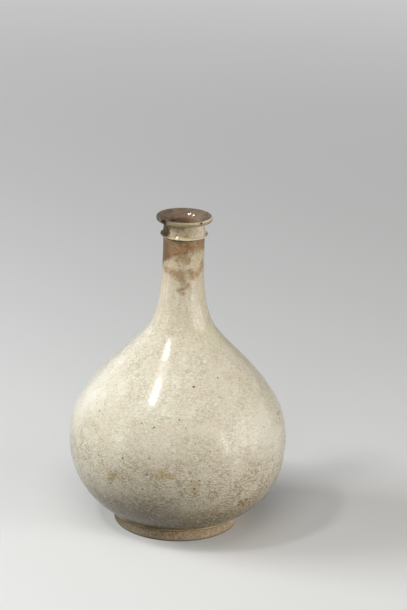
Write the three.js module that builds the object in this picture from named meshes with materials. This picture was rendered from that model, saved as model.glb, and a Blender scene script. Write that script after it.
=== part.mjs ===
// Porcelain bottle vase: a round belly on a turned foot ring, a slender drawn neck, a raised collar and a
// wide dished mouth. The bottle is thrown in sections. Each section carries the next one on a stepped lap
// that is bedded in slip, so every section and every bed of slip is a solid of its own.
// Millimetres, +Z up. The origin is the centre of the plane that the foot stands on.
import * as THREE from "three";

// Heights, each measured from the top of the one before it
const FOOT_HEIGHT = 13.5; // standing plane to the seat of the lower body
const BELLY_RISE = 69; // seat of the lower body to the widest point
const SHOULDER_RISE = 76; // widest point to where the shoulder turns into the neck
const NECK_RISE = 122.1; // turn of the shoulder to the seat of the collar
const COLLAR_HEIGHT = 5.8; // seat of the collar to the start of the waist
const WAIST_HEIGHT = 9.5; // start of the waist to the underside of the flange
const FLANGE_THICKNESS = 4.1; // underside of the flange to the top of the lip

// Outer form
const SEAT_RADIUS = 62.2; // lower body where it meets the foot
const BELLY_RADIUS = 102.4; // widest point
const SHOULDER_RADIUS = 63; // turn of the shoulder
const BASE_FLARE = 28.5; // degrees above level, in which the lower body leaves the foot
const SHOULDER_SLOPE = 45.8; // degrees above level, in which the shoulder rises to the neck
const BASE_FULLNESS = [0.594, 0.232]; // pull of each end of the curve, as a share of its own rise
const SHOULDER_FULLNESS = [0.324, 0.616];
const NECK_FULLNESS = [0.4545, 0.6765];

// Walls and bore
const FLOOR_THICKNESS = 7.2; // at the axis
const BASE_WALL = 7.6;
const BELLY_WALL = 5.8;
const SHOULDER_WALL = 5.2;
const NECK_WALL = 6.7;
const WAIST_WALL = 6.95;
const BORE_RADIUS = 12.5;

// Foot ring
const FOOT_RIM_RADIUS = 58.3; // outer edge at the standing plane
const FOOT_FLARE = 2.8; // how much wider the ring is at its top
const FOOT_WIDTH = 9.6; // of the face that it stands on
const FOOT_BORE_TAPER = 2; // how much the bore narrows upwards
const FOOT_EDGE = 1; // bevel beside the face that it stands on
const BOSS_DEPTH = 3; // centring boss of the lower body, inside the ring

// Neck, collar and mouth
const NECK_LENGTH = 68; // neck tube, from its joint with the shoulder to the seat of the collar
const COLLAR_PROJECTION = 3; // ridge beyond the neck
const COLLAR_RIDGE_RISE = 2.1; // seat of the collar to the ridge
const COLLAR_ROUND = 0.4; // rounding of the ridge
const FLANGE_OVERHANG = 6.65; // flange beyond the waist
const FLANGE_FILLET = 2.6; // hollow curve under the flange
const FLANGE_EDGE_ROUND = 1.4;
const LIP_WIDTH = 1; // level part of the lip
const DISH_DEPTH = 4.2; // top of the lip to the throat
const THROAT_ROUND = 1.2; // easing of the throat's edge

// Joints
const SLIP_THICKNESS = 0.8; // bed of slip between two sections
const SEAM_CLEARANCE = 0.3; // beside the bed, where a section slides past it
const LAP_RISE = 4; // height of the tongue that one section raises into the next

// Fineness of the round forms
const SEGMENTS = 40; // round the axis
const FACET_LENGTH = 10; // along the side
const FLOOR_STEPS = 5;
const CURVE_STEPS = 4; // in the hollow and rounded curves of the collar and mouth
const CORNER_STEPS = 2;
const HALVINGS = 40; // of the interval in which a height is looked up

// Heights that follow from the sizes above
const bellyZ = FOOT_HEIGHT + BELLY_RISE;
const shoulderZ = bellyZ + SHOULDER_RISE;
const collarZ = shoulderZ + NECK_RISE;
const waistZ = collarZ + COLLAR_HEIGHT;
const flangeZ = waistZ + WAIST_HEIGHT;
const lipZ = flangeZ + FLANGE_THICKNESS;
const neckJointZ = collarZ - NECK_LENGTH;
const bellyJointZ = bellyZ - SLIP_THICKNESS / 2;

// Radii that follow from the sizes above
const neckRadius = BORE_RADIUS + NECK_WALL;
const waistRadius = BORE_RADIUS + WAIST_WALL;
const flangeRadius = waistRadius + FLANGE_OVERHANG;
const footBoreRadius = FOOT_RIM_RADIUS - FOOT_EDGE - FOOT_WIDTH - FOOT_EDGE - FOOT_BORE_TAPER;

const LEVEL = 0;
const UPRIGHT = Math.PI / 2;
const baseAngle = THREE.MathUtils.degToRad(BASE_FLARE);
const shoulderAngle = Math.PI - THREE.MathUtils.degToRad(SHOULDER_SLOPE);
const point = (radius, z) => new THREE.Vector2(radius, z);

// The unit vector at an angle above level, where level points to larger radii.
const heading = (angle) => point(Math.cos(angle), Math.sin(angle));

// One end of a wall curve: a place on the outer form and its direction, moved square into the wall.
function anchor(radius, z, angle, depth) {
  const inward = heading(angle + UPRIGHT);
  return { place: point(radius, z).addScaledVector(inward, depth), angle };
}

function curveBetween(low, high, fullness) {
  const rise = high.place.y - low.place.y;
  const leaving = low.place.clone().addScaledVector(heading(low.angle), fullness[0] * rise);
  const arriving = high.place.clone().addScaledVector(heading(high.angle), -fullness[1] * rise);
  return new THREE.CubicBezierCurve(low.place, leaving, arriving, high.place);
}

// The side of the bottle from the foot to the collar, at the given depths below the outer surface.
function wallCurve(base, belly, shoulder, neck) {
  const ends = [
    anchor(SEAT_RADIUS, FOOT_HEIGHT, baseAngle, base),
    anchor(BELLY_RADIUS, bellyZ, UPRIGHT, belly),
    anchor(SHOULDER_RADIUS, shoulderZ, shoulderAngle, shoulder),
    anchor(neckRadius, collarZ, UPRIGHT, neck),
  ];
  const path = new THREE.CurvePath();
  [BASE_FULLNESS, SHOULDER_FULLNESS, NECK_FULLNESS].forEach((fullness, i) => {
    path.add(curveBetween(ends[i], ends[i + 1], fullness));
  });
  return path;
}

const outerSide = wallCurve(0, 0, 0, 0);
const innerSide = wallCurve(BASE_WALL, BELLY_WALL, SHOULDER_WALL, NECK_WALL);

// How far along a side it reaches a height, from 0 at the foot to 1 at the collar.
function reach(side, z) {
  let low = 0;
  let high = 1;
  for (let i = 0; i < HALVINGS; i++) {
    const middle = (low + high) / 2;
    if (side.getPoint(middle).y < z) low = middle;
    else high = middle;
  }
  return (low + high) / 2;
}

const radiusAt = (side, z) => side.getPoint(reach(side, z)).x;

// Evenly spaced points along a side from one height to another, in either direction.
function stretch(side, fromZ, toZ) {
  const from = reach(side, fromZ);
  const to = reach(side, toZ);
  const steps = Math.ceil((Math.abs(to - from) * side.getLength()) / FACET_LENGTH);
  const points = [];
  for (let i = 1; i < steps; i++) points.push(side.getPoint(from + ((to - from) * i) / steps));
  return [point(radiusAt(side, fromZ), fromZ), ...points, point(radiusAt(side, toZ), toZ)];
}

// A stepped lap. The section below raises a tongue beside the bore, and the section above sits over it.
// The bed of slip fills the step, with a clearance on both sides of its upright part.
function lap(z, innerBelow, innerAbove, outerBelow, outerAbove) {
  const web = SLIP_THICKNESS + 2 * SEAM_CLEARANCE;
  const tongue = (innerBelow + outerBelow - web) / 2;
  const tipZ = z + LAP_RISE;
  return {
    tongue,
    tipZ,
    below: [point(outerBelow, z), point(tongue, z), point(tongue, tipZ), point(innerBelow, tipZ)],
    above: [
      point(innerAbove, tipZ + SLIP_THICKNESS),
      point(tongue + web, tipZ + SLIP_THICKNESS),
      point(tongue + web, z + SLIP_THICKNESS),
      point(outerAbove, z + SLIP_THICKNESS),
    ],
    slip: [
      point(outerBelow, z),
      point(outerAbove, z + SLIP_THICKNESS),
      point(tongue + web - SEAM_CLEARANCE, z + SLIP_THICKNESS),
      point(tongue + web - SEAM_CLEARANCE, tipZ + SLIP_THICKNESS),
      point(innerAbove, tipZ + SLIP_THICKNESS),
      point(innerBelow, tipZ),
      point(tongue + SEAM_CLEARANCE, tipZ),
      point(tongue + SEAM_CLEARANCE, z),
    ],
  };
}

// A lap in the side of the body, whose faces follow the side.
function sideLap(z) {
  const tipZ = z + LAP_RISE;
  return lap(
    z,
    radiusAt(innerSide, tipZ),
    radiusAt(innerSide, tipZ + SLIP_THICKNESS),
    radiusAt(outerSide, z),
    radiusAt(outerSide, z + SLIP_THICKNESS),
  );
}

const bellyLap = sideLap(bellyJointZ);
const neckLap = sideLap(neckJointZ);
const mouthLap = lap(waistZ, BORE_RADIUS, BORE_RADIUS, waistRadius, waistRadius);

const glaze = new THREE.MeshStandardMaterial({ color: 0xd9cfb0, roughness: 0.2, metalness: 0 });
const stainedGlaze = new THREE.MeshStandardMaterial({ color: 0xa8895f, roughness: 0.3, metalness: 0 });
const bareClay = new THREE.MeshStandardMaterial({ color: 0xc2a98c, roughness: 0.85, metalness: 0 });
const slip = new THREE.MeshStandardMaterial({ color: 0x7d7050, roughness: 0.7, metalness: 0 });

// A section turned about the axis. A profile that stays off the axis is closed on itself.
function turned(name, profile, material) {
  const onAxis = profile[0].x === 0;
  const outline = onAxis ? profile : [...profile, profile[0]];
  const geometry = new THREE.LatheGeometry(outline, SEGMENTS);
  geometry.rotateX(Math.PI / 2);
  const mesh = new THREE.Mesh(geometry, material);
  mesh.name = name;
  return mesh;
}

function footRing() {
  const topZ = FOOT_HEIGHT - SLIP_THICKNESS;
  const standingInner = FOOT_RIM_RADIUS - FOOT_EDGE - FOOT_WIDTH;
  return turned(
    "foot_ring",
    [
      point(standingInner, 0),
      point(FOOT_RIM_RADIUS - FOOT_EDGE, 0),
      point(FOOT_RIM_RADIUS, FOOT_EDGE),
      point(FOOT_RIM_RADIUS + FOOT_FLARE, topZ),
      point(footBoreRadius, topZ),
      point(standingInner - FOOT_EDGE, FOOT_EDGE),
    ],
    bareClay,
  );
}

function footSlipBand() {
  const outer = FOOT_RIM_RADIUS + FOOT_FLARE;
  return turned(
    "foot_slip_band",
    [
      point(outer, FOOT_HEIGHT - SLIP_THICKNESS),
      point(outer, FOOT_HEIGHT),
      point(footBoreRadius, FOOT_HEIGHT),
      point(footBoreRadius, FOOT_HEIGHT - SLIP_THICKNESS),
    ],
    slip,
  );
}

// The inner floor, from the axis out to where the wall begins.
function floorCurve(floorZ) {
  const edge = innerSide.getPoint(0);
  const approach = edge.clone().addScaledVector(heading(baseAngle), -BASE_WALL);
  return new THREE.CubicBezierCurve(point(0, floorZ), point(edge.x / 2, floorZ), approach, edge);
}

function lowerBody() {
  const undersideZ = FOOT_HEIGHT - BOSS_DEPTH;
  const bossRadius = footBoreRadius - SEAM_CLEARANCE;
  const floor = floorCurve(undersideZ + FLOOR_THICKNESS);
  const wallStartZ = innerSide.getPoint(0).y;
  return turned(
    "lower_body",
    [
      point(0, undersideZ),
      point(bossRadius, undersideZ),
      point(bossRadius, FOOT_HEIGHT),
      ...stretch(outerSide, FOOT_HEIGHT, bellyJointZ).slice(0, -1),
      ...bellyLap.below,
      ...stretch(innerSide, bellyLap.tipZ, wallStartZ).slice(1, -1),
      ...floor.getPoints(FLOOR_STEPS).reverse(),
    ],
    glaze,
  );
}

function upperBody() {
  const seatZ = bellyLap.tipZ + SLIP_THICKNESS;
  const rimZ = bellyJointZ + SLIP_THICKNESS;
  return turned(
    "upper_body",
    [
      ...bellyLap.above,
      ...stretch(outerSide, rimZ, neckJointZ).slice(1, -1),
      ...neckLap.below,
      ...stretch(innerSide, neckLap.tipZ, seatZ).slice(1, -1),
    ],
    glaze,
  );
}

// The tube of the neck, with a shoulder that carries the collar and a spigot that centres the mouth.
function neckTube() {
  const seatZ = neckLap.tipZ + SLIP_THICKNESS;
  const rimZ = neckJointZ + SLIP_THICKNESS;
  return turned(
    "neck_tube",
    [
      ...neckLap.above,
      ...stretch(outerSide, rimZ, collarZ).slice(1),
      point(mouthLap.tongue, collarZ),
      point(mouthLap.tongue, mouthLap.tipZ),
      point(BORE_RADIUS, mouthLap.tipZ),
      ...stretch(innerSide, collarZ, seatZ).slice(0, -1),
    ],
    stainedGlaze,
  );
}

function collarSlipBand() {
  const inner = mouthLap.tongue + SEAM_CLEARANCE;
  return turned(
    "collar_slip_band",
    [
      point(neckRadius, collarZ),
      point(neckRadius, collarZ + SLIP_THICKNESS),
      point(inner, collarZ + SLIP_THICKNESS),
      point(inner, collarZ),
    ],
    slip,
  );
}

// The collar ring, undercut to the neck below its ridge and hollowed to the waist above it.
function collarRing() {
  const inner = mouthLap.tongue + SEAM_CLEARANCE;
  const ridge = point(neckRadius + COLLAR_PROJECTION, collarZ + COLLAR_RIDGE_RISE);
  const overRidge = point(ridge.x - COLLAR_ROUND, ridge.y + COLLAR_ROUND);
  const top = point(waistRadius, waistZ);
  const hollow = new THREE.QuadraticBezierCurve(overRidge, point(waistRadius, overRidge.y), top);
  return turned(
    "collar_ring",
    [
      point(inner, collarZ + SLIP_THICKNESS),
      point(neckRadius, collarZ + SLIP_THICKNESS),
      point(ridge.x - COLLAR_ROUND, ridge.y - COLLAR_ROUND),
      ridge,
      ...hollow.getPoints(CURVE_STEPS),
      point(inner, waistZ),
    ],
    stainedGlaze,
  );
}

// A rounded corner about a centre, from one heading to another.
function roundedCorner(centre, radius, from, to) {
  const points = [];
  for (let i = 0; i <= CORNER_STEPS; i++) {
    const angle = from + ((to - from) * i) / CORNER_STEPS;
    points.push(centre.clone().addScaledVector(heading(angle), radius));
  }
  return points;
}

// The waist and the wide flange above it, dished down to the throat.
function mouthCup() {
  const filletStart = point(waistRadius, flangeZ - FLANGE_FILLET);
  const filletEnd = point(waistRadius + FLANGE_FILLET, flangeZ);
  const fillet = new THREE.QuadraticBezierCurve(filletStart, point(waistRadius, flangeZ), filletEnd);
  const edgeRadius = flangeRadius - FLANGE_EDGE_ROUND;
  const lipInner = point(edgeRadius - LIP_WIDTH, lipZ);
  const throat = point(BORE_RADIUS, lipZ - DISH_DEPTH - THROAT_ROUND);
  const dish = new THREE.CubicBezierCurve(
    lipInner,
    point((lipInner.x + BORE_RADIUS) / 2, lipZ - DISH_DEPTH / 2),
    point(BORE_RADIUS + THROAT_ROUND, lipZ - DISH_DEPTH),
    throat,
  );
  return turned(
    "mouth_cup",
    [
      ...mouthLap.above,
      ...fillet.getPoints(CURVE_STEPS),
      ...roundedCorner(point(edgeRadius, flangeZ + FLANGE_EDGE_ROUND), FLANGE_EDGE_ROUND, -UPRIGHT, LEVEL),
      ...roundedCorner(point(edgeRadius, lipZ - FLANGE_EDGE_ROUND), FLANGE_EDGE_ROUND, LEVEL, UPRIGHT),
      ...dish.getPoints(CURVE_STEPS),
    ],
    stainedGlaze,
  );
}

const bottle = new THREE.Group();
bottle.add(
  footRing(),
  footSlipBand(),
  lowerBody(),
  turned("belly_slip_band", bellyLap.slip, slip),
  upperBody(),
  turned("neck_slip_band", neckLap.slip, slip),
  neckTube(),
  collarSlipBand(),
  collarRing(),
  turned("mouth_slip_band", mouthLap.slip, slip),
  mouthCup(),
);

export default bottle;
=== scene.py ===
"""A porcelain bottle vase under crackled ivory glaze, with kiln stain on its neck and a bare turned foot."""

import math

import bmesh
import bpy
import numpy as np
from bpy.props import FloatProperty, FloatVectorProperty, IntProperty, PointerProperty
from mathutils import Matrix, Vector, noise


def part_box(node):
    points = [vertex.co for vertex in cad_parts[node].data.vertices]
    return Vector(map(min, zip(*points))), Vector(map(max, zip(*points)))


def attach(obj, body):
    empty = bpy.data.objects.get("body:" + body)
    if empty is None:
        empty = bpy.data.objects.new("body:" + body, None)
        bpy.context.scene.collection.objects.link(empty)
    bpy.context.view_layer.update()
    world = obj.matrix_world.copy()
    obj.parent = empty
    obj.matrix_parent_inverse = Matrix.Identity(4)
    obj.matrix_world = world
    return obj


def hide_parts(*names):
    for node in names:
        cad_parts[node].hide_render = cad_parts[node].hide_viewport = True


bl_info = {
    "name": "Porcelain Bottle Vase",
    "version": (1, 0, 0),
    "blender": (4, 5, 0),
    "location": "View3D > Sidebar > Bottle",
    "description": "Builds a thrown and glazed bottle vase round its CAD frame",
    "category": "Object",
}

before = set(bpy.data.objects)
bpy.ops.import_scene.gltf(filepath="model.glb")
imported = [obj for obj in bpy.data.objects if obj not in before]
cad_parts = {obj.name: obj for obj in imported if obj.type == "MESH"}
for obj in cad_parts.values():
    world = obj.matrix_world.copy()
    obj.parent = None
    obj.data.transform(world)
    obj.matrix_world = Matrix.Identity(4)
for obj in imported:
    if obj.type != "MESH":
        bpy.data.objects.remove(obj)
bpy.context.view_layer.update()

MM = 0.001
TAU = 2 * math.pi
BODY = "root"


def top(node):
    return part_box(node)[1].z


def bottom(node):
    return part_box(node)[0].z


def reach(node):
    """How far a CAD node reaches from the axis."""
    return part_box(node)[1].x


def tone(red, green, blue):
    """A colour picked on a 0 to 255 scale, as the linear values that a material takes."""
    channels = []
    for value in (red, green, blue):
        share = value / 255
        channels.append(share / 12.92 if share <= 0.04045 else ((share + 0.055) / 1.055) ** 2.4)
    return tuple(channels)


def length(name, description, default):
    return FloatProperty(name=name, description=description, default=default, unit="LENGTH", precision=4)


def share(name, description, default):
    return FloatProperty(
        name=name, description=description, default=default, subtype="FACTOR", min=0, max=1
    )


def angle(name, description, degrees):
    return FloatProperty(
        name=name, description=description, default=math.radians(degrees), subtype="ANGLE"
    )


def power(name, description, default):
    return FloatProperty(name=name, description=description, default=default, unit="POWER")


def strength(name, description, default):
    return FloatProperty(name=name, description=description, default=default)


def colour(name, description, default):
    return FloatVectorProperty(
        name=name, description=description, default=default, subtype="COLOR", size=3, min=0, max=1
    )


# What a user can change


class BottleForm(bpy.types.PropertyGroup):
    seat_radius: length("Seat radius", "Lower body where it meets the foot", 62.2 * MM)
    shoulder_rise: length("Shoulder rise", "Widest point to the turn of the shoulder", 76 * MM)
    shoulder_radius: length("Shoulder radius", "Radius where the shoulder turns to the neck", 63 * MM)
    base_flare: angle("Base flare", "Angle above level in which the body leaves the foot", 28.5)
    shoulder_slope: angle("Shoulder slope", "Angle above level in which the shoulder rises", 45.8)
    base_wall: length("Base wall", "Thickness of the wall over the foot", 7.6 * MM)
    belly_wall: length("Belly wall", "Thickness of the wall at the widest point", 5.8 * MM)
    shoulder_wall: length("Shoulder wall", "Thickness of the wall at the shoulder", 5.2 * MM)
    bore_radius: length("Bore radius", "Inside radius of the neck", 12.5 * MM)
    floor_thickness: length("Floor thickness", "Thickness of the floor at the axis", 7.2 * MM)
    dish_depth: length("Dish depth", "Top of the lip down to the throat", 4.2 * MM)
    segments: IntProperty(name="Segments", description="Steps round the axis", default=288, min=24)
    row: length("Row", "Distance between the rows of faces on the outside", 1.1 * MM)
    wobble: length("Wobble", "How far the thrown wall strays from round", 0.45 * MM)
    wobble_size: length("Wobble size", "Width of one hollow or swell in the wall", 46 * MM)
    ring_depth: length("Throwing rings", "Depth of the rings that the potter's fingers leave", 0.05 * MM)
    ring_spacing: length("Ring spacing", "Height from one throwing ring to the next", 7.5 * MM)
    ridge: length("Shoulder ridge", "Height of the soft ridge where the shoulder was closed in", 0.28 * MM)
    lean: length("Lean", "How far the axis bends to one side on its way up", 1.2 * MM)
    seed: IntProperty(name="Seed", description="Changes the random forms of the clay", default=4)


class BottleGlaze(bpy.types.PropertyGroup):
    ivory: colour("Ivory", "Glaze over the body", tone(219, 211, 190))
    milk: colour("Milk", "Whiter clouds in the glaze", tone(232, 228, 212))
    celadon: colour("Green tinge", "Glaze where it lies thicker", tone(210, 206, 180))
    # blush is also painted light on the right of the waist
    blush: colour("Blush", "Pinkish warmth in the glaze", tone(214, 200, 182))
    # soil in patches and painted shade, darker towards the foot
    soiled: colour("Soiled and shaded ivory", "Tone of the soiled glaze low on the body", tone(176, 158, 120))
    # painted shade under the belly and over the foot, warm like the stained glaze there
    underside_shade_and_stain: colour("Underside", "Warm tone of the glaze over the foot", tone(134, 110, 52))
    crack_tone: colour("Crack stain", "Colour that has settled in the crackle", tone(106, 84, 50))
    crack_cell: length("Crackle size", "Width of one cell of the crackle", 2.8 * MM)
    crack_line: share("Crackle line", "Width of a crackle line as a share of a cell", 0.14)
    crack_strength: share("Crackle strength", "How dark the crackle is low on the body", 0.68)
    stroke_strength: share("Crowded cracks", "How strongly crowded cracks show as strokes", 0.6)
    iron: colour("Iron", "Specks of iron in the glaze", tone(70, 58, 42))
    rust: colour("Rust", "Brown specks and scars", tone(118, 88, 44))
    ochre: colour("Ochre", "Soft yellow-brown patches", tone(178, 150, 98))
    roughness: share("Roughness", "Roughness of the fired glaze", 0.09)


class BottleStain(bpy.types.PropertyGroup):
    russet: colour("Russet", "Kiln stain under the collar", tone(150, 112, 76))
    umber: colour("Umber", "Darkest of the kiln stain", tone(108, 76, 50))
    olive: colour("Olive", "Fringe of the stain and pooled glaze", tone(138, 120, 78))
    neck: colour("Neck haze", "Beige haze over the neck", tone(196, 178, 146))
    dish: colour("Dish", "Inside of the mouth", tone(112, 95, 83))
    throat: colour("Throat", "Where the mouth runs down to the bore", tone(130, 106, 84))
    # worn pale glaze; on the front and right of the lip it is also painted light where the top edge catches
    # the light
    lip: colour("Worn lip", "Pale worn edges of the lip and the collar", tone(212, 202, 176))
    # painted shade on the left and back of the lip and the brim; also the grey of the scratches in the dish
    lip_shade_and_scratch: colour("Lip shade and scratches", "Greyer side of the worn lip", tone(88, 80, 72))
    brim: colour("Brim", "Side of the flange under the worn lip", tone(150, 132, 100))
    waist: colour("Waist", "Glaze between the collar and the mouth", tone(186, 170, 138))
    # painted shade: the left of the waist under the flange and the left of the neck stain
    waist_shade: colour("Waist shade", "Side of the waist that the chip has soiled", tone(60, 47, 31))
    # also painted as the shade of the chip's recess on the brim
    break_tone: colour("Broken edge", "Soiled clay in the chips of the lip", tone(44, 34, 28))


class BottleFoot(bpy.types.PropertyGroup):
    clay: colour("Clay", "Bare clay of the foot ring", tone(180, 163, 134))
    flush: colour("Flush", "Orange that the fire leaves on bare clay", tone(184, 151, 120))
    soil: colour("Soil", "Grey-brown where the foot has been handled", tone(168, 152, 124))
    pale: colour("Pale grains", "Pale grains in the clay", tone(214, 200, 172))
    # painted shade on the left of the foot under the body and at its bottom edge; also its darker mottles
    shade: colour("Foot shade", "Darkest soil, on the left and where the foot stands", tone(96, 84, 66))
    slip: colour("Slip", "Darker tone in the beds of slip", tone(84, 70, 42))
    skirt: colour("Glaze skirt", "Glaze that runs over the foot", tone(174, 158, 118))
    skirt_cloud: colour("Skirt clouds", "Clouds in the glaze over the foot", tone(154, 136, 96))
    # dark glaze line where the glaze stops, with painted shade under the bead
    skirt_end_and_shade: colour("Skirt end", "Dark line where the glaze stops", tone(88, 72, 38))
    # painted shade in the crease where the skirt leaves the body
    skirt_crease_shade: colour("Skirt root", "Dark line where the skirt leaves the body", tone(88, 74, 46))
    grains: IntProperty(
        name="Grains", description="Grains of kiln sand stuck to the foot", default=170, min=0
    )
    grain_size: length("Grain size", "Width of a grain of kiln sand", 0.7 * MM)
    skirt_drop: length("Skirt drop", "How far the glaze runs down over the foot", 1.6 * MM)
    skirt_pool: length("Pooled glaze", "How much thicker the glaze lies on the left of the foot", 1.5 * MM)
    skirt_ragged: length("Ragged edge", "How unevenly the glaze stops on the foot", 0.8 * MM)


class BottleStage(bpy.types.PropertyGroup):
    floor: colour("Floor", "Pale floor as the camera sees it", (0.62, 0.615, 0.6))
    backdrop: share("Backdrop", "Even light of the floor and backdrop as the camera sees them", 0.08)
    far_floor: share("Far floor", "Light that keeps the far floor pale for the camera", 0.6)
    floor_bounce: share("Floor bounce", "How much light the floor gives back to the bottle", 0.1)
    sky: strength("Surroundings", "Strength of the soft light all round", 0.06)
    key: power("Key lamp", "Power of the soft box", 5)
    key_azimuth: angle("Key azimuth", "Where the soft box stands, from the viewer to the right", -50.5)
    key_height: angle("Key height", "Angle of the soft box above level", 56.5)
    left: power("Left panel", "Power of the panel on the left", 34)
    high: power("High panel", "Power of the panel over the camera", 10.5)
    front: power("Front panel", "Power of the panel by the camera", 7.5)
    right: power("Right panel", "Power of the panel on the right", 25)
    window: strength("Windows", "Brightness of the two panes that only the glaze mirrors", 2.2)
    strip: power("Strip lamps", "Power of the two weak strips", 0.55)


GROUPS = {
    "bottle_form": BottleForm,
    "bottle_glaze": BottleGlaze,
    "bottle_stain": BottleStain,
    "bottle_foot": BottleFoot,
    "bottle_stage": BottleStage,
}

# Heights and radii that the frame fixes
FOOT_TOP = top("foot_ring")
SEAT_Z = top("foot_slip_band")
BELLY_JOINT = bottom("belly_slip_band")
NECK_JOINT = bottom("neck_slip_band")
COLLAR_Z = bottom("collar_slip_band")
WAIST_Z = top("collar_ring")
LIP_Z = top("mouth_cup")
BELLY_RADIUS = reach("lower_body")
NECK_RADIUS = reach("collar_slip_band")
RIDGE_RADIUS = reach("collar_ring")
FLANGE_RADIUS = reach("mouth_cup")
FOOT_TOP_RADIUS = reach("foot_ring")

SIDE_STEPS = 400
SLIP = 0.8 * MM
CLEARANCE = 0.3 * MM
LAP_RISE = 4 * MM
SKIN = 0.7 * MM
BASE_FULLNESS = (0.594, 0.232)
SHOULDER_FULLNESS = (0.324, 0.616)
NECK_FULLNESS = (0.4545, 0.6765)
WAIST_RADIUS = NECK_RADIUS + 0.25 * MM
BELLY_Z = BELLY_JOINT + SLIP / 2
FOOT_WALL = 15.4 * MM
FOOT_TAPER = 2.8 * MM
BOSS_DEPTH = 3 * MM
RIDGE_RISE = 2.1 * MM
RIDGE_ROUND = 0.55 * MM
FLANGE_THICKNESS = 4.1 * MM
LIP_ROUND = 1.4 * MM
CREASE = math.radians(32)
GLAZE_IOR = 1.52
# (height in mm, share of the ridge, half width in mm) of the shoulder's soft ridge and the hollows over it
SHOULDER_RIDGES = ((160.5, 1.0, 7.0), (176.0, -0.75, 7.0), (194.0, -2.0, 8.0))

# Outlines: lists of (radius, height) or (radius, height, weight)


def heading(angle):
    return np.array((math.cos(angle), math.sin(angle)))


def bezier(start, leave, arrive, end, t):
    t = np.asarray(t)[:, None]
    return (1 - t) ** 3 * start + 3 * (1 - t) ** 2 * t * leave + 3 * (1 - t) * t**2 * arrive + t**3 * end


class Side:
    """The side of the bottle from foot to collar, at a depth below the outer surface for each of its ends."""

    def __init__(self, form, depths):
        upright = math.pi / 2
        slope = math.pi - form.shoulder_slope
        ends = [
            (form.seat_radius, SEAT_Z, form.base_flare),
            (BELLY_RADIUS, BELLY_Z, upright),
            (form.shoulder_radius, BELLY_Z + form.shoulder_rise, slope),
            (NECK_RADIUS, COLLAR_Z, upright),
        ]
        places = [np.array((r, z)) + heading(a + upright) * d for (r, z, a), d in zip(ends, depths)]
        points = []
        for i, fullness in enumerate((BASE_FULLNESS, SHOULDER_FULLNESS, NECK_FULLNESS)):
            low, high = places[i], places[i + 1]
            rise = high[1] - low[1]
            leave = low + heading(ends[i][2]) * fullness[0] * rise
            arrive = high - heading(ends[i + 1][2]) * fullness[1] * rise
            points.append(bezier(low, leave, arrive, high, np.linspace(0, 1, SIDE_STEPS)))
        points = np.concatenate(points)
        self.radii, self.heights = points[:, 0], points[:, 1]
        for height, amount, spread in SHOULDER_RIDGES:
            apart = (self.heights - height * MM) / (spread * MM)
            self.radii = self.radii + amount * form.ridge * np.exp(-(apart**2))

    def radius(self, z):
        return float(np.interp(z, self.heights, self.radii))

    def run(self, low, high, step):
        """Points from one height to another, a step apart, and closer together at both ends."""
        inside = [p for p in zip(self.radii, self.heights) if min(low, high) < p[1] < max(low, high)]
        if high < low:
            inside.reverse()
        path = [(self.radius(low), low), *inside, (self.radius(high), high)]
        travelled = np.concatenate([[0], np.cumsum([math.dist(a, b) for a, b in zip(path, path[1:])])])
        total = travelled[-1]
        near = (0.12 * MM, 0.4 * MM)
        between = np.linspace(0, total, max(3, round(total / step)))[1:-1]
        stops = [0, *near, *between, total - near[1], total - near[0], total]
        radii = np.interp(stops, travelled, [p[0] for p in path])
        heights = np.interp(stops, travelled, [p[1] for p in path])
        return list(zip(radii, heights))


def arc(centre, radius, start, end, steps):
    """Points of a rounded edge; the angles are in degrees above level."""
    angles = np.radians(np.linspace(start, end, steps + 1))
    return [(centre[0] + radius * math.cos(a), centre[1] + radius * math.sin(a)) for a in angles]


def straight(start, end, steps):
    return [tuple(np.array(start) + (np.array(end) - np.array(start)) * i / steps) for i in range(steps + 1)]


def curve(points, steps):
    """Points on a curve that starts at the first point, ends at the last and is pulled by those between."""
    path = np.array(points, dtype=float)
    order = len(path) - 1
    result = []
    for t in np.linspace(0, 1, steps + 1):
        weights = [math.comb(order, k) * (1 - t) ** (order - k) * t**k for k in range(order + 1)]
        result.append(tuple(np.dot(weights, path)))
    return result


def sides(form):
    outer = Side(form, (0, 0, 0, 0))
    neck_wall = NECK_RADIUS - form.bore_radius
    inner = Side(form, (form.base_wall, form.belly_wall, form.shoulder_wall, neck_wall))
    return outer, inner


def tongue_radius(inner, outer):
    return (inner + outer - SLIP - 2 * CLEARANCE) / 2


def lap_points(form, z):
    """The steps of a lap in the side: the tongue below, the sleeve above and the bed of slip between."""
    outer, inner = sides(form)
    tip = z + LAP_RISE
    tongue = tongue_radius(inner.radius(tip), outer.radius(z))
    sleeve = tongue + SLIP + 2 * CLEARANCE
    inset = outer.radius(z) - SKIN
    below = [(inset, z), (tongue, z), (tongue, tip), (inner.radius(tip), tip)]
    above = [(inner.radius(tip + SLIP), tip + SLIP), (sleeve, tip + SLIP), (sleeve, z + SLIP)]
    slip = [
        (inset, z),
        (inset, z + SLIP),
        (sleeve - CLEARANCE, z + SLIP),
        (sleeve - CLEARANCE, tip + SLIP),
        (inner.radius(tip + SLIP), tip + SLIP),
        (inner.radius(tip), tip),
        (tongue + CLEARANCE, tip),
        (tongue + CLEARANCE, z),
    ]
    return below, above, slip


def lap_slip_outline(form, z):
    slip = lap_points(form, z)[2]
    return [*slip, slip[0]]

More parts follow.
